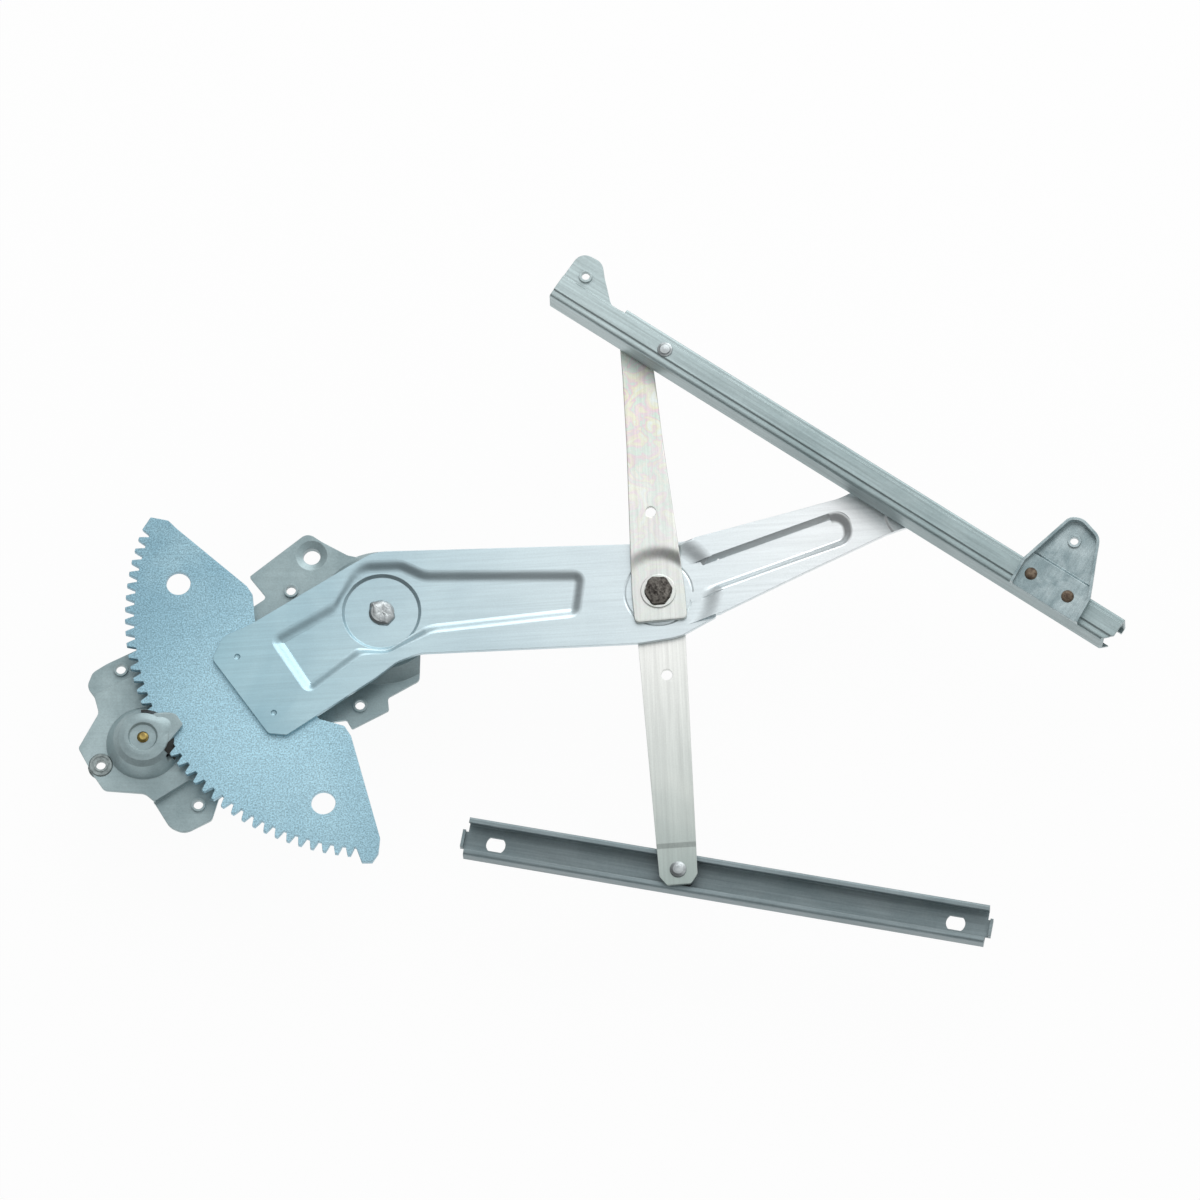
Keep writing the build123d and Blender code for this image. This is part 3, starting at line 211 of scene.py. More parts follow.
# rainbowFilm: the passivation's pink, straw and green patches, with a mask that fades with distance
def makeRainbowFilm():
    group, source, result = newGroup(
        "rainbowFilm",
        [
            ("Place", "NodeSocketVector", None),
            ("Centre", "NodeSocketVector", None),
            ("Reach", "NodeSocketFloat", 0.08),
        ],
        [("Colour", "NodeSocketColor"), ("Mask", "NodeSocketFloat")],
    )
    links = group.links
    wave = addNode(group, "ShaderNodeTexNoise", inputs={"Scale": 75.0, "Detail": 3.0, "Distortion": 2.0})
    bands = addRamp(
        group,
        [
            (0.30, (0.78, 0.86, 0.84)),
            (0.42, (0.80, 0.78, 0.50)),
            (0.50, (0.80, 0.52, 0.64)),
            (0.57, (0.56, 0.76, 0.64)),
            (0.66, (0.80, 0.74, 0.62)),
            (0.76, (0.74, 0.84, 0.86)),
        ],
    )
    near = addNode(group, "ShaderNodeGroup", node_tree=nearness)
    patch = addNode(group, "ShaderNodeTexNoise", inputs={"Scale": 40.0, "Detail": 2.0})
    product = addNode(group, "ShaderNodeMath", operation="MULTIPLY", use_clamp=True)
    links.new(source.outputs["Place"], wave.inputs["Vector"])
    links.new(source.outputs["Place"], patch.inputs["Vector"])
    links.new(wave.outputs["Fac"], bands.inputs["Fac"])
    for label in ("Place", "Centre", "Reach"):
        links.new(source.outputs[label], near.inputs[label])
    links.new(near.outputs["Mask"], product.inputs[0])
    links.new(patch.outputs["Fac"], product.inputs[1])
    links.new(bands.outputs["Color"], result.inputs["Colour"])
    links.new(product.outputs[0], result.inputs["Mask"])
    return group


bumpDistance = 0.0004  # metres of relief at full strength, on every finish
edgeRound = makeEdgeRound()
zincClouds = makeZincClouds()
nearness = makeNearness()
rainbowFilm = makeRainbowFilm()


# plated sheet finishes: colours are the sheet's, its lighter clouds, a painted highlight on its edges and a
# painted sheen near one place
upperPin = jointPlace("upper_roller_turn")
pivot = jointPlace("lift_turn")
centre = jointPlace("equalizer_turn")
sheetFinishes = {
    "plateSteel": dict(
        colour=(0.31, 0.41, 0.43), cloudColour=(0.45, 0.57, 0.59), edgeHighlightColour=(0.64, 0.72, 0.73),
        metal=0.40, roughness=0.36, spread=0.03, cloudSize=24.0, speckleSize=1100.0,
        speckle=0.08, grain=0.05, turn=0.0, bump=0.05,
    ),
    "sectorSteel": dict(
        colour=(0.23, 0.42, 0.52), cloudColour=(0.38, 0.59, 0.68), edgeHighlightColour=(0.62, 0.76, 0.82),
        metal=0.60, roughness=0.40, spread=0.10, cloudSize=15.0, speckleSize=1250.0,
        speckle=0.34, grain=0.04, turn=0.0, bump=0.10,
        # painted sheen: the sector lighter towards its lower end
        sheenColour=(0.48, 0.75, 0.87), sheenReach=0.12,
        sheenCentre=(pivot[0] - 0.055, pivot[1] - 0.065, 0.0135),
    ),
    "liftArmSteel": dict(
        colour=(0.22, 0.44, 0.53), cloudColour=(0.34, 0.57, 0.65), edgeHighlightColour=(0.66, 0.80, 0.84),
        metal=0.72, roughness=0.30, spread=0.02, cloudSize=13.0, speckleSize=1200.0,
        speckle=0.03, grain=0.07, turn=0.06, bump=0.01,
        # painted sheen: the arm lighter towards the right, partly its own paler tint
        sheenColour=(0.88, 0.91, 0.92), sheenCentre=(0.27, 0.02, 0.018), sheenReach=0.37,
    ),
    "upperArmSteel": dict(
        colour=(0.70, 0.75, 0.72), cloudColour=(0.84, 0.87, 0.85), edgeHighlightColour=(0.90, 0.93, 0.92),
        metal=0.72, roughness=0.30, spread=0.02, cloudSize=20.0, speckleSize=1200.0,
        speckle=0.03, grain=0.10, turn=1.62, bump=0.01,
        film={"centre": (upperPin[0] + 0.002, upperPin[1] - 0.03, 0.021), "reach": 0.13},
    ),
    "lowerArmSteel": dict(
        # painted shade and sheen: a dark colour, lit up near the centre pivot, so the arm darkens towards its
        # far end
        colour=(0.30, 0.38, 0.36), cloudColour=(0.40, 0.47, 0.44), edgeHighlightColour=(0.80, 0.85, 0.83),
        metal=0.72, roughness=0.30, spread=0.02, cloudSize=20.0, speckleSize=1200.0,
        speckle=0.03, grain=0.10, turn=1.62, bump=0.01,
        sheenColour=(0.94, 0.95, 0.92), sheenCentre=(centre[0], centre[1] - 0.02, 0.01), sheenReach=0.15,
    ),
    "upperChannelSteel": dict(
        colour=(0.30, 0.39, 0.40), cloudColour=(0.38, 0.47, 0.48), edgeHighlightColour=(0.46, 0.54, 0.54),
        metal=0.50, roughness=0.36, spread=0.02, cloudSize=26.0, speckleSize=900.0,
        speckle=0.06, grain=0.20, turn=directionAngle("glass_rail_slide"), bump=0.02,
        # painted sheen: the channel lighter near one place
        sheenColour=(0.50, 0.60, 0.61), sheenCentre=(0.13, 0.11, 0.038), sheenReach=0.14,
    ),
    "lowerChannelSteel": dict(
        colour=(0.23, 0.30, 0.32), cloudColour=(0.30, 0.37, 0.39), edgeHighlightColour=(0.34, 0.40, 0.41),
        metal=0.30, roughness=0.42, spread=0.02, cloudSize=24.0, speckleSize=900.0,
        speckle=0.06, grain=0.18, turn=directionAngle("door_rail_slide"), bump=0.02,
    ),
    "bracketSteel": dict(
        colour=(0.24, 0.32, 0.34), cloudColour=(0.44, 0.53, 0.55), edgeHighlightColour=(0.74, 0.80, 0.80),
        metal=0.65, roughness=0.28, spread=0.03, cloudSize=90.0, speckleSize=1100.0,
        speckle=0.05, grain=0.10, turn=1.0, bump=0.02,
    ),
}


# colour = sheet mixed with its clouds, with painted sheen near one place or tinted by the rainbow film,
# then varied by speckle and grain, and lightened on its edges as painted highlight
def makeSheet(name, **look):
    material = bpy.data.materials.new(name)
    material.use_nodes = True
    tree = material.node_tree
    links = tree.links
    shader = tree.nodes["Principled BSDF"]
    shader.inputs["Metallic"].default_value = look["metal"]
    place = addNode(tree, "ShaderNodeTexCoord")
    turn = addNode(tree, "ShaderNodeMapping")
    turn.inputs["Rotation"].default_value = (0.0, 0.0, -look["turn"])
    masks = addNode(tree, "ShaderNodeGroup", node_tree=zincClouds)
    masks.inputs["Cloud size"].default_value = look["cloudSize"]
    masks.inputs["Speckle size"].default_value = look["speckleSize"]
    links.new(place.outputs["Object"], turn.inputs["Vector"])
    links.new(turn.outputs["Vector"], masks.inputs["Place"])
    edge = addNode(tree, "ShaderNodeGroup", node_tree=edgeRound)
    cloudRamp = addRamp(tree, [(0.38, look["colour"]), (0.66, look["cloudColour"])])
    links.new(masks.outputs["Cloud"], cloudRamp.inputs["Fac"])
    speckleRamp = addGreyRamp(tree, (0.36, 0.64), (1.0 - look["speckle"], 1.0 + 0.6 * look["speckle"]))
    links.new(masks.outputs["Speckle"], speckleRamp.inputs["Fac"])
    grainRamp = addGreyRamp(tree, (0.34, 0.66), (1.0 - look["grain"], 1.0 + 0.5 * look["grain"]))
    links.new(masks.outputs["Grain"], grainRamp.inputs["Fac"])
    speckled = addNode(tree, "ShaderNodeMix", data_type="RGBA", blend_type="MULTIPLY")
    speckled.inputs["Factor"].default_value = 1.0
    grained = addNode(tree, "ShaderNodeMix", data_type="RGBA", blend_type="MULTIPLY")
    grained.inputs["Factor"].default_value = 1.0
    # painted highlight: the edge mask mixes a paler colour into the sheet's edges
    edgeHighlight = addNode(tree, "ShaderNodeMix", data_type="RGBA")
    edgeHighlight.inputs["B"].default_value = (*look["edgeHighlightColour"], 1)
    colourNow = cloudRamp.outputs["Color"]
    # painted sheen: a paler colour mixed in, strongest at one place and fading with distance from it
    if "sheenColour" in look:
        near = addNode(tree, "ShaderNodeGroup", node_tree=nearness)
        near.inputs["Centre"].default_value = look["sheenCentre"]
        near.inputs["Reach"].default_value = look["sheenReach"]
        sheen = addNode(tree, "ShaderNodeMix", data_type="RGBA")
        sheen.inputs["B"].default_value = (*look["sheenColour"], 1)
        links.new(place.outputs["Object"], near.inputs["Place"])
        links.new(near.outputs["Mask"], sheen.inputs["Factor"])
        links.new(colourNow, sheen.inputs["A"])
        colourNow = sheen.outputs["Result"]
    if "film" in look:
        filmNode = addNode(tree, "ShaderNodeGroup", node_tree=rainbowFilm)
        filmNode.inputs["Centre"].default_value = look["film"]["centre"]
        filmNode.inputs["Reach"].default_value = look["film"]["reach"]
        links.new(place.outputs["Object"], filmNode.inputs["Place"])
        filmed = addNode(tree, "ShaderNodeMix", data_type="RGBA")
        links.new(filmNode.outputs["Mask"], filmed.inputs["Factor"])
        links.new(colourNow, filmed.inputs["A"])
        links.new(filmNode.outputs["Colour"], filmed.inputs["B"])
        colourNow = filmed.outputs["Result"]
    links.new(colourNow, speckled.inputs["A"])
    links.new(speckleRamp.outputs["Color"], speckled.inputs["B"])
    links.new(speckled.outputs["Result"], grained.inputs["A"])
    links.new(grainRamp.outputs["Color"], grained.inputs["B"])
    links.new(grained.outputs["Result"], edgeHighlight.inputs["A"])
    links.new(edge.outputs["Edge"], edgeHighlight.inputs["Factor"])
    links.new(edgeHighlight.outputs["Result"], shader.inputs["Base Color"])
    smoother, rougher = look["roughness"] - look["spread"], look["roughness"] + look["spread"]
    roughRamp = addGreyRamp(tree, (0.3, 0.7), (smoother, rougher))
    links.new(masks.outputs["Speckle"], roughRamp.inputs["Fac"])
    links.new(roughRamp.outputs["Color"], shader.inputs["Roughness"])
    bump = addNode(tree, "ShaderNodeBump", inputs={"Strength": look["bump"], "Distance": bumpDistance})
    height = addNode(tree, "ShaderNodeMath", operation="ADD")
    links.new(masks.outputs["Speckle"], height.inputs[0])
    links.new(masks.outputs["Grain"], height.inputs[1])
    links.new(height.outputs[0], bump.inputs["Height"])
    links.new(edge.outputs["Normal"], bump.inputs["Normal"])
    links.new(bump.outputs["Normal"], shader.inputs["Normal"])
    return material


sheets = {name: makeSheet(name, **look) for name, look in sheetFinishes.items()}
print("sheet finishes made:", len(sheets))

# finishes of turned, wound and moulded pieces: two tones and how fine their spots are
solidFinishes = {
    "turnedSteel": dict(
        colour=(0.50, 0.54, 0.55), dark=(0.34, 0.37, 0.38),
        metal=0.85, roughness=0.30, size=260.0, bump=0.05,
    ),
    "rivetBrown": dict(
        colour=(0.22, 0.17, 0.12), dark=(0.09, 0.06, 0.04),
        metal=0.45, roughness=0.55, size=420.0, bump=0.5,
    ),
    "stakeBrown": dict(
        colour=(0.15, 0.14, 0.125), dark=(0.025, 0.02, 0.018),
        metal=0.7, roughness=0.42, size=420.0, bump=0.8,
    ),
    "springSteel": dict(
        colour=(0.05, 0.053, 0.06), dark=(0.02, 0.02, 0.024),
        metal=0.7, roughness=0.42, size=180.0, bump=0.08,
    ),
    "pinionBrass": dict(
        colour=(0.52, 0.40, 0.13), dark=(0.24, 0.17, 0.06),
        metal=0.85, roughness=0.34, size=300.0, bump=0.1,
    ),
    # painted shade: near black, for the sheets in the pinion's openings and journal gap
    "shadeBlack": dict(
        colour=(0.03, 0.028, 0.024), dark=(0.012, 0.011, 0.01),
        metal=0.0, roughness=0.45, size=300.0, bump=0.2,
    ),
    "rollerNylon": dict(
        colour=(0.018, 0.018, 0.02), dark=(0.008, 0.008, 0.009),
        metal=0.0, roughness=0.5, size=240.0, bump=0.1,
    ),
    "nutSteel": dict(
        colour=(0.38, 0.44, 0.44), dark=(0.22, 0.26, 0.26),
        metal=0.7, roughness=0.4, size=380.0, bump=0.15,
    ),
}
duller, shinier = 0.12, 0.05  # how far roughness strays either way between the spots
smallEdgeRadius = 0.00025


# colour = two tones mixed by noise, with the same noise as a fine bump
def makeSolid(name, colour, dark, metal, roughness, size, bump):
    material = bpy.data.materials.new(name)
    material.use_nodes = True
    tree = material.node_tree
    links = tree.links
    shader = tree.nodes["Principled BSDF"]
    shader.inputs["Metallic"].default_value = metal
    place = addNode(tree, "ShaderNodeTexCoord")
    noise = addNode(tree, "ShaderNodeTexNoise", inputs={"Scale": size, "Detail": 5.0, "Roughness": 0.65})
    tone = addRamp(tree, [(0.36, dark), (0.60, colour)])
    rough = addGreyRamp(tree, (0.3, 0.7), (roughness + duller, roughness - shinier))
    edge = addNode(tree, "ShaderNodeGroup", node_tree=edgeRound)
    edge.inputs["Radius"].default_value = smallEdgeRadius
    relief = addNode(tree, "ShaderNodeBump", inputs={"Strength": bump, "Distance": bumpDistance})
    links.new(place.outputs["Object"], noise.inputs["Vector"])
    links.new(noise.outputs["Fac"], tone.inputs["Fac"])
    links.new(noise.outputs["Fac"], rough.inputs["Fac"])
    links.new(noise.outputs["Fac"], relief.inputs["Height"])
    links.new(edge.outputs["Normal"], relief.inputs["Normal"])
    links.new(tone.outputs["Color"], shader.inputs["Base Color"])
    links.new(rough.outputs["Color"], shader.inputs["Roughness"])
    links.new(relief.outputs["Normal"], shader.inputs["Normal"])
    return material


solids = {name: makeSolid(name, **look) for name, look in solidFinishes.items()}
finishes = {**sheets, **solids}
print("other finishes made:", len(solids))

# which finish each CAD node wears
nodeFinish = {
    "base_plate": "plateSteel", "clutch_drum": "plateSteel", "spindle_bush": "turnedSteel",
    "pivot_bush": "turnedSteel", "balance_spring": "springSteel", "clinch_nut": "nutSteel",
    "crank_spindle": "turnedSteel", "brake_spring": "springSteel", "pinion_gear": "pinionBrass",
    "lift_arm": "liftArmSteel", "sector_gear": "sectorSteel", "pivot_shaft": "turnedSteel",
    "lift_roller_stud": "turnedSteel", "lift_roller": "rollerNylon", "equalizer_upper_arm": "upperArmSteel",
    "equalizer_lower_arm": "lowerArmSteel", "center_pin": "stakeBrown", "center_washer": "upperArmSteel",
    "upper_roller_stud": "turnedSteel", "lower_roller_stud": "turnedSteel", "upper_roller": "rollerNylon",
    "upper_channel": "upperChannelSteel", "stop_rivet": "turnedSteel", "glass_bracket": "bracketSteel",
    "bracket_rivets": "rivetBrown", "lower_washer": "turnedSteel", "lower_roller": "rollerNylon",
    "lower_channel": "lowerChannelSteel",
}
for nodeName, finishName in nodeFinish.items():
    for slotNumber in range(len(nodes[nodeName].material_slots)):
        nodes[nodeName].material_slots[slotNumber].material = finishes[finishName]
print("finishes given to", len(nodeFinish), "nodes")

# sizes from here to the floor are in millimetres
arcSteps = 10  # points on each rounded corner of an outline


# a rounded outline = straight runs joined by arcs that touch both sides of each corner;
# the corners run anticlockwise, and each point comes with its inward normal
def roundedOutline(corners, radii, steps=arcSteps):
    corners = np.array(corners, float)
    before = corners - np.roll(corners, 1, axis=0)
    after = np.roll(corners, -1, axis=0) - corners
    before /= np.linalg.norm(before, axis=1)[:, None]
    after /= np.linalg.norm(after, axis=1)[:, None]
    turn = np.arctan2(before[:, 0] * after[:, 1] - before[:, 1] * after[:, 0], np.sum(before * after, axis=1))
    radii = np.array(radii, float)
    side = np.sign(turn)
    start = corners - before * (radii * np.tan(np.abs(turn) / 2))[:, None]
    inward = np.stack([-before[:, 1], before[:, 0]], axis=1) * side[:, None]
    arcCentre = start + inward * radii[:, None]
    share = np.linspace(0, 1, steps)
    angle = np.arctan2(-inward[:, 1], -inward[:, 0])[:, None] + turn[:, None] * share
    spoke = np.stack([np.cos(angle), np.sin(angle)], axis=-1)
    points = arcCentre[:, None] + spoke * radii[:, None, None]
    normals = -spoke * side[:, None, None]
    return points.reshape(-1, 2), normals.reshape(-1, 2)


# the same outline with its points spread evenly along its length
def spreadEvenly(rim, inward, count, closed=False):
    if closed:
        rim, inward = np.vstack([rim, rim[:1]]), np.vstack([inward, inward[:1]])
    run = np.concatenate([[0], np.cumsum(np.linalg.norm(np.diff(rim, axis=0), axis=1))])
    even = np.linspace(0, run[-1], count, endpoint=not closed)
    return [np.stack([np.interp(even, run, line[:, k]) for k in range(2)], axis=1) for line in (rim, inward)]


# points given along and across a direction from a place, in millimetres, become metres in the frame
def placed(origin, angle, along, across, height):
    x = origin[0] + mm * (along * math.cos(angle) - across * math.sin(angle))
    y = origin[1] + mm * (along * math.sin(angle) + across * math.cos(angle))
    return np.stack(np.broadcast_arrays(x, y, height), axis=-1)


# the same for points given by their distance and angle round the place
def placedRound(origin, radius, theta, height):
    return placed(origin, 0.0, radius * np.cos(theta), radius * np.sin(theta), height)


# 0 below the start, 1 above the end, and 3 t^2 - 2 t^3 between them
def smoothStep(start, end, value):
    t = np.clip((value - start) / (end - start), 0, 1)
    return t * t * (3 - 2 * t)


# pressed walls: bands that run from the rim of a pressing down to its floor, or up to the raised half
flatBelowTop = 3.6  # the lift arm's flat left half, below its highest point
armTop = topOf("lift_arm") - flatBelowTop * mm
raisedAngle = math.radians(18.0)
bandRows = 10
tuck = 0.3  # how far a wall reaches over its rim
lie = {"pocket": 0.03, "slot": 0.04, "flank": 0.03}  # how high each wall lies on the sheet
pocketWall = {
    "corners": [
        (-56.6, -14.4), (-36.5, -44.8), (-9.0, -23.3), (3.0, -23.0), (26.0, -12.2), (100.0, -4.0),
        (103.0, 20.6), (22.0, 20.9), (10.0, 26.6), (-13.5, 26.0), (-23.5, 4.8),
    ],
    "radii": [5, 5, 10, 15, 20, 6, 6, 12, 13, 13, 9],
    "width": 5.6,
    "depth": 2.5,
    "clear": 20.4,
    "narrowest": 2.4,
}
slotWall = {
    "corners": [(14.0, -9.7), (101.6, -6.2), (104.0, 12.6), (14.0, 8.9)],
    "radii": [0.1, 8.5, 8.5, 0.1],
    "width": 4.6,
    "rise": 3.0,
    "foot": 22.0,
    "shoulder": 32.6,
}
flanks = {"upperFlank": {"inner": 9.3, "outer": 20.9}, "lowerFlank": {"inner": -20.6, "outer": -9.2}}


# height = rim - depth * smoothStep and inset = width * t, with t from 0 at the rim to 1 at the floor;
# the wall narrows where it passes the disc round the main pivot
def makePocketWall(corners, radii, width, depth, clear, narrowest):
    rim, inward = roundedOutline(corners, radii)
    reach = np.clip(np.linalg.norm(rim, axis=1) - clear, narrowest, width)[:, None]
    t = np.linspace(0, 1, bandRows)
    inset = reach * t - tuck * (1 - t)
    height = armTop + mm * (lie["pocket"] - depth * smoothStep(0, 1, t))
    along, across = rim[:, :1] + inward[:, :1] * inset, rim[:, 1:] + inward[:, 1:] * inset
    band = surfaceMesh("pocketWall", placed(pivot, 0.0, along, across, height), closeRows=True)
    finishPiece(band, finishes["liftArmSteel"], "lift")


# the slot's rim climbs with the raised half, by rise * smoothStep of the distance from the centre pivot;
# its left end stays open
def makeSlotWall(corners, radii, width, rise, foot, shoulder):
    rim, inward = roundedOutline(corners, radii)
    opened = slice(arcSteps - 1, -arcSteps)
    rim, inward = spreadEvenly(rim[opened], inward[opened], count=160)
    t = np.linspace(0, 1, bandRows)
    inset = width * t - tuck * (1 - t)
    lift = rise * smoothStep(foot, shoulder, np.linalg.norm(rim, axis=1))[:, None]
    height = armTop + mm * (lie["slot"] + lift * (1 - smoothStep(0, 1, t)))
    along, across = rim[:, :1] + inward[:, :1] * inset, rim[:, 1:] + inward[:, 1:] * inset
    band = surfaceMesh("slotWall", placed(centre, raisedAngle, along, across, height))
    finishPiece(band, finishes["liftArmSteel"], "lift")


# the climb to the raised half is a smoothStep of the distance from the centre pivot,
# with a short skirt at the outer side
def makeFlank(name, inner, outer, rise, foot, shoulder):
    radius = np.linspace(foot, shoulder, 14)[:, None]
    share = np.array([0.0, 0.1, 0.3, 0.5, 0.7, 0.9, 1.0, 1.0])
    skirt = np.array([0.0] * (len(share) - 1) + [1.0])
    angle = np.arcsin(inner / radius) * (1 - share) + np.arcsin(outer / radius) * share
    height = armTop + mm * (lie["flank"] + rise * smoothStep(foot, shoulder, radius) - skirt)
    points = placed(centre, raisedAngle, radius * np.cos(angle), radius * np.sin(angle), height)
    finishPiece(surfaceMesh(name, points), finishes["liftArmSteel"], "lift")


makePocketWall(**pocketWall)
makeSlotWall(**slotWall)
climb = {key: slotWall[key] for key in ("rise", "foot", "shoulder")}
for flankName, flank in flanks.items():
    makeFlank(flankName, **flank, **climb)
print("pressed walls made")

# upper equalizer arm: flat square end round the pivot, a rounded jog, and a raised strip with one hole
upperArmLook = {
    "corners": [
        (-15.5, -13.3), (0.0, -13.4), (25.0, -12.1), (77.0, -9.3), (115.0, -8.1), (140.5, -8.0), (140.5, 8.0),
        (115.0, 8.1), (77.0, 9.3), (25.0, 12.1), (0.0, 13.4), (-15.5, 13.3),
    ],
    "radii": [2.5, 10, 60, 60, 40, 7.9, 7.9, 40, 60, 60, 10, 2.5],
    "sheet": 2.0,
    "jog": {"foot": 16.0, "shoulder": 23.5, "rise": 3.0},
    "edge": 0.4,
    "hole": {"along": 41.4, "across": 0.2, "radius": 2.75},
}


# rings run from the hole to the outline over the top, round the edge and back to the hole underneath
def makeUpperArm(corners, radii, sheet, jog, edge, hole):
    direction = upperPin - centre
    angle = math.atan2(direction[1], direction[0])
    top = topOf("equalizer_upper_arm") - mm * jog["rise"]
    rim, inward = roundedOutline(corners, radii)
    rim, inward = spreadEvenly(rim, inward, count=420, closed=True)
    middle = np.array([hole["along"], hole["across"]])
    toRim = rim - middle
    start = middle + hole["radius"] * toRim / np.linalg.norm(toRim, axis=1)[:, None]
    t = np.concatenate([[0.0, 0.005], np.linspace(0.02, 1.0, 56)])[:, None, None]
    face = start + (rim + inward * edge - start) * t
    lip = [rim + inward * edge * share for share in (0.3, 0.0, 0.0, 0.0, 0.1)]
    back = np.concatenate([face[::-4], start[None]])
    rings = np.concatenate([face, lip, back])
    faceDown = [0.02] + [0.0] * (len(face) - 1)  # a slight break at the hole's rim
    lipDown = [0.3 * edge, edge, sheet - 0.01, sheet, sheet]
    down = np.concatenate([faceDown, lipDown, np.full(len(back), sheet)])[:, None]

    # the jog follows an arc round the centre pivot, on the roller's side only
    reach = np.where(rings[..., 0] > 0, np.linalg.norm(rings, axis=-1), 0)
    height = top + mm * (jog["rise"] * smoothStep(jog["foot"], jog["shoulder"], reach) - down)
    arm = surfaceMesh("upperArm", placed(centre, angle, rings[..., 0], rings[..., 1], height), True, True)
    finishPiece(arm, finishes["upperArmSteel"], "equalizer")
    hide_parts("equalizer_upper_arm")


makeUpperArm(**upperArmLook)
print("upper equalizer arm made")

# round the pinion: the pointed beak beside its cup, and painted shade in its openings and at its journal
pinionPlace = jointPlace("crank_turn")
plateTop = topOf("base_plate")
beakLook = {
    "direction": 31.0, "spread": 26.0, "reach": 20.5, "foot": 12.6, "cup": 7.9, "top": 0.06, "drop": 2.0,
}
windowShadeLooks = {
    "windowShadeLeft": dict(side=-1, nearEnd=24.0, farEnd=64.0, inner=12.9, outer=18.6, top=1.2, drop=7.6),
    "windowShadeRight": dict(side=1, nearEnd=24.0, farEnd=64.0, inner=12.9, outer=15.3, top=1.2, drop=3.9),
}
windowShadeLie = 0.15  # how high the openings lie on the dome
journalGapShadeLook = {"inner": 1.9, "outer": 3.3, "depth": 2.35}


# the outer radius is foot + (reach - foot) * bell, where bell = exp(-(angle off the beak / spread)^2);
# height falls outwards by a smoothStep
def makeBeak(direction, spread, reach, foot, cup, top, drop):
    theta = np.linspace(0, 2 * math.pi, 120, endpoint=False)
    off = (np.degrees(theta) - direction + 180) % 360 - 180
    bell = np.exp(-((off / spread) ** 2))
    t = np.linspace(0, 1, 12)[:, None]
    radius = cup + (foot + (reach - foot) * bell - cup) * t
    height = plateTop + mm * (top - drop * smoothStep(0.15, 1.0, t) * np.ones_like(bell))
    points = placedRound(pinionPlace, radius, theta, height)
    beak = surfaceMesh("beak", points[::-1], closeColumns=True)
    finishPiece(beak, finishes["plateSteel"], "base")


# painted shade: a black sheet in an opening on the dome's wall; radius and depth grow evenly outwards,
# between two angles off the beak; the right one ends above the moving sector
def makeWindowShade(name, beakDirection, side, nearEnd, farEnd, inner, outer, top, drop):
    theta = np.radians(beakDirection + side * np.linspace(nearEnd, farEnd, 16))[::side]
    t = np.linspace(0, 1, 5)[:, None]
    radius = inner + (outer - inner) * t
    height = plateTop - mm * (top + (drop - top) * t - windowShadeLie)
    points = placedRound(pinionPlace, radius, theta, height * np.ones_like(theta))
    finishPiece(surfaceMesh(name, points[::-1]), finishes["shadeBlack"], "base")


# painted shade: the gap between the pinion's journal and the cup's collar is a flat black ring
def makeJournalGapShade(inner, outer, depth):
    theta = np.linspace(0, 2 * math.pi, 48, endpoint=False)
    radius = np.array([outer, inner])[:, None]
    points = placedRound(pinionPlace, radius, theta, plateTop - mm * depth)
    gap = surfaceMesh("journalGapShade", points, closeColumns=True)
    finishPiece(gap, finishes["shadeBlack"], "base")


makeJournalGapShade(**journalGapShadeLook)
makeBeak(**beakLook)
for shadeName, shadeLook in windowShadeLooks.items():
    makeWindowShade(shadeName, beakLook["direction"], **shadeLook)
print("pinion's surroundings made")

# hammered heads: the pivot shaft's, sunk round the CAD's own, and the stake of the centre pin
headLooks = {
    "pivotHead": dict(
        joint="lift_turn", under="pivot_shaft", sunk=2.0, body="lift", finish="turnedSteel",
        slotName="turned_steel",
        corners=[(-6.3, -1.6), (-1.6, -6.6), (3.4, -7.0), (7.0, -2.8), (6.0, 3.0), (0.8, 7.0), (-6.0, 5.6)],
        radius=2.0, height=2.1, lumps=0.10,
    ),
    "stakeHead": dict(
        joint="equalizer_turn", under="center_washer", sunk=0.0, body="equalizer", finish="stakeBrown",
        slotName="rivet_steel",
        corners=[
            (-5.4, 5.6), (-6.3, 0.9), (-5.4, -4.4), (-1.2, -7.6), (3.2, -7.3),
            (6.2, -3.2), (5.9, 2.4), (1.6, 7.4), (-3.0, 7.6),
        ],
        radius=1.5, height=1.3, lumps=0.14,
    ),
}


# rings shrink from the outline to the middle and rise by 1 - (1 - t)^3,
# with a small random lump on each point
def makeHead(name, joint, under, sunk, body, finish, slotName, corners, radius, height, lumps):
    rim, _ = roundedOutline(corners, [radius] * len(corners), steps=6)
    ringCount = 12
    t = np.linspace(0, 1, ringCount)[:, None]
    size = np.concatenate([[[1.0]], 1.0 - 0.94 * t[1:] ** 1.4])
    rise = height * (1 - (1 - t) ** 3)
    rough = np.random.default_rng(4).normal(0, lumps, (ringCount, len(rim))) * (t > 0) * (t < 1)
    high = topOf(under) - sunk * mm + mm * np.clip(rise + rough, 0, height)
    points = placed(jointPlace(joint), 0.0, rim[:, 0] * size, rim[:, 1] * size, high)
    middle = np.broadcast_to(points[-1].mean(axis=0), points[-1].shape)
    head = surfaceMesh(name, np.concatenate([points, middle[None]]), closeColumns=True)
    finishPiece(head, finishes[finish], body)


for headName, headLook in headLooks.items():
    makeHead(headName, **headLook)
print("hammered heads made")

# floor
floorLook = {"drop": 0.036, "half": 3.0, "colour": (0.93, 0.93, 0.93), "glow": 0.95}


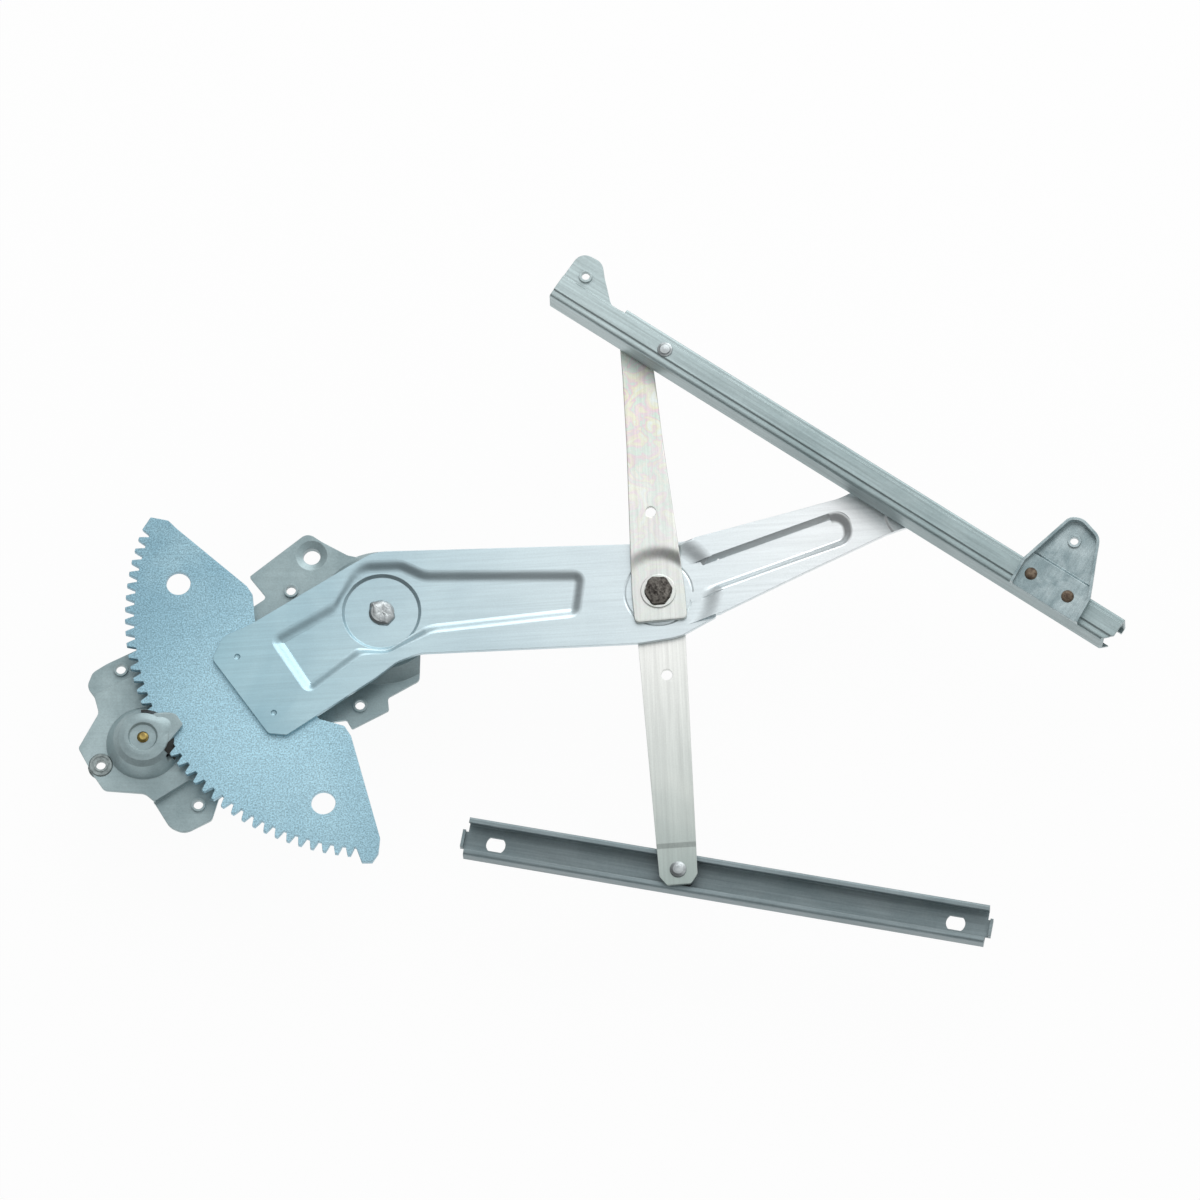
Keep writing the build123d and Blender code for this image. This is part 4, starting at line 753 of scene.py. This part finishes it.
# a flat square under the part: white to the camera and to mirrors, matt paper to all other light
def makeFloor(drop, half, colour, glow):
    side = np.linspace(-half, half, 3)
    x, y = np.meshgrid(side, side, indexing="ij")
    floor = surfaceMesh("floor", np.stack([x, y, np.full_like(x, -drop)], axis=-1))
    material = bpy.data.materials.new("floorPaper")
    material.use_nodes = True
    tree = material.node_tree
    links = tree.links
    tree.nodes.remove(tree.nodes["Principled BSDF"])
    matt = addNode(tree, "ShaderNodeBsdfDiffuse", inputs={"Color": (*colour, 1)})
    white = addNode(tree, "ShaderNodeEmission", inputs={"Color": (1, 1, 1, 1), "Strength": 1.0})
    path = addNode(tree, "ShaderNodeLightPath")
    seen = addNode(tree, "ShaderNodeMath", operation="MAXIMUM")
    anySeen = addNode(tree, "ShaderNodeMath", operation="MAXIMUM")
    share = addNode(tree, "ShaderNodeMath", operation="MULTIPLY", inputs={1: glow})
    mix = addNode(tree, "ShaderNodeMixShader")
    links.new(path.outputs["Is Camera Ray"], seen.inputs[0])
    links.new(path.outputs["Is Glossy Ray"], seen.inputs[1])
    links.new(seen.outputs[0], anySeen.inputs[0])
    links.new(path.outputs["Is Transmission Ray"], anySeen.inputs[1])
    links.new(anySeen.outputs[0], share.inputs[0])
    links.new(share.outputs[0], mix.inputs["Fac"])
    links.new(matt.outputs[0], mix.inputs[1])
    links.new(white.outputs[0], mix.inputs[2])
    links.new(mix.outputs[0], tree.nodes["Material Output"].inputs["Surface"])
    floor.data.materials.append(material)


makeFloor(**floorLook)
print("floor made")

# light: what the metal mirrors is white towards the picture's top right
# and falls off to dark on the other side
lightLook = {
    "ambient": 0.56,
    "studio": dict(toward=(0.34, 0.52, 0.78), dark=0.07, low=0.10, high=0.92),
    "lamps": [dict(name="keyLamp", place=(0.45, 1.15, 0.80), size=1.60, power=10.0)],
    "aim": (0.13, 0.0, 0.0),
}


def makeWorld(ambient, studio):
    world = bpy.data.worlds.new("studio")
    bpy.context.scene.world = world
    world.use_nodes = True
    tree = world.node_tree
    links = tree.links
    background = tree.nodes["Background"]
    background.inputs["Color"].default_value = (1, 1, 1, 1)
    path = addNode(tree, "ShaderNodeLightPath")
    direction = addNode(tree, "ShaderNodeTexCoord")
    facing = addNode(tree, "ShaderNodeVectorMath", operation="DOT_PRODUCT")
    facing.inputs[1].default_value = Vector(studio["toward"]).normalized()
    lit = addNode(
        tree, "ShaderNodeMapRange", interpolation_type="SMOOTHSTEP",
        inputs={
            "From Min": studio["low"], "From Max": studio["high"],
            "To Min": studio["dark"], "To Max": 1.0,
        },
    )
    mirrored = addNode(tree, "ShaderNodeMath", operation="MAXIMUM")
    mirrorMix = addNode(tree, "ShaderNodeMix", inputs={"A": ambient})
    cameraMix = addNode(tree, "ShaderNodeMix", inputs={"B": 1.0})
    links.new(direction.outputs["Generated"], facing.inputs[0])
    links.new(facing.outputs["Value"], lit.inputs["Value"])
    links.new(path.outputs["Is Glossy Ray"], mirrored.inputs[0])
    links.new(path.outputs["Is Transmission Ray"], mirrored.inputs[1])
    links.new(mirrored.outputs[0], mirrorMix.inputs["Factor"])
    links.new(lit.outputs["Result"], mirrorMix.inputs["B"])
    links.new(path.outputs["Is Camera Ray"], cameraMix.inputs["Factor"])
    links.new(mirrorMix.outputs["Result"], cameraMix.inputs["A"])
    links.new(cameraMix.outputs["Result"], background.inputs["Strength"])


def makeLamps(lamps, aim):
    for lamp in lamps:
        data = bpy.data.lights.new(lamp["name"], "AREA")
        data.shape = "DISK"
        data.size = lamp["size"]
        data.energy = lamp["power"]
        holder = bpy.data.objects.new(lamp["name"], data)
        holder.location = lamp["place"]
        holder.rotation_mode = "QUATERNION"
        holder.rotation_quaternion = (Vector(aim) - Vector(lamp["place"])).to_track_quat("-Z", "Y")
        bpy.context.scene.collection.objects.link(holder)


makeWorld(lightLook["ambient"], lightLook["studio"])
makeLamps(lightLook["lamps"], lightLook["aim"])
bpy.context.scene.view_settings.view_transform = "Standard"

# camera: looks down on the glass side, leaning towards the lower edge of the picture
cameraLook = {
    "aim": (0.15, -0.02, 0.02),
    "distance": 6.0,
    "back": (0.0298, -0.3224, 0.9461),
    "roll": 0.22,
    "slideRight": -0.0040,
    "slideUp": -0.0102,
    "lens": 358.9,
}


def makeCamera(aim, distance, back, roll, slideRight, slideUp, lens):
    data = bpy.data.cameras.new("camera")
    data.lens = lens
    data.sensor_width = 36.0
    data.clip_end = 50.0
    camera = bpy.data.objects.new("camera", data)
    bpy.context.scene.collection.objects.link(camera)
    back = Vector(back).normalized()
    level = Vector((0, 1, 0)).cross(back).normalized()
    upright = back.cross(level)
    angle = math.radians(roll)
    right = level * math.cos(angle) + upright * math.sin(angle)
    up = upright * math.cos(angle) - level * math.sin(angle)
    place = Vector(aim) + back * distance + right * slideRight + up * slideUp
    rows = [(right[k], up[k], back[k], place[k]) for k in range(3)]
    camera.matrix_world = Matrix(rows + [(0, 0, 0, 1)])
    bpy.context.scene.camera = camera


makeCamera(**cameraLook)

print("light and camera set")
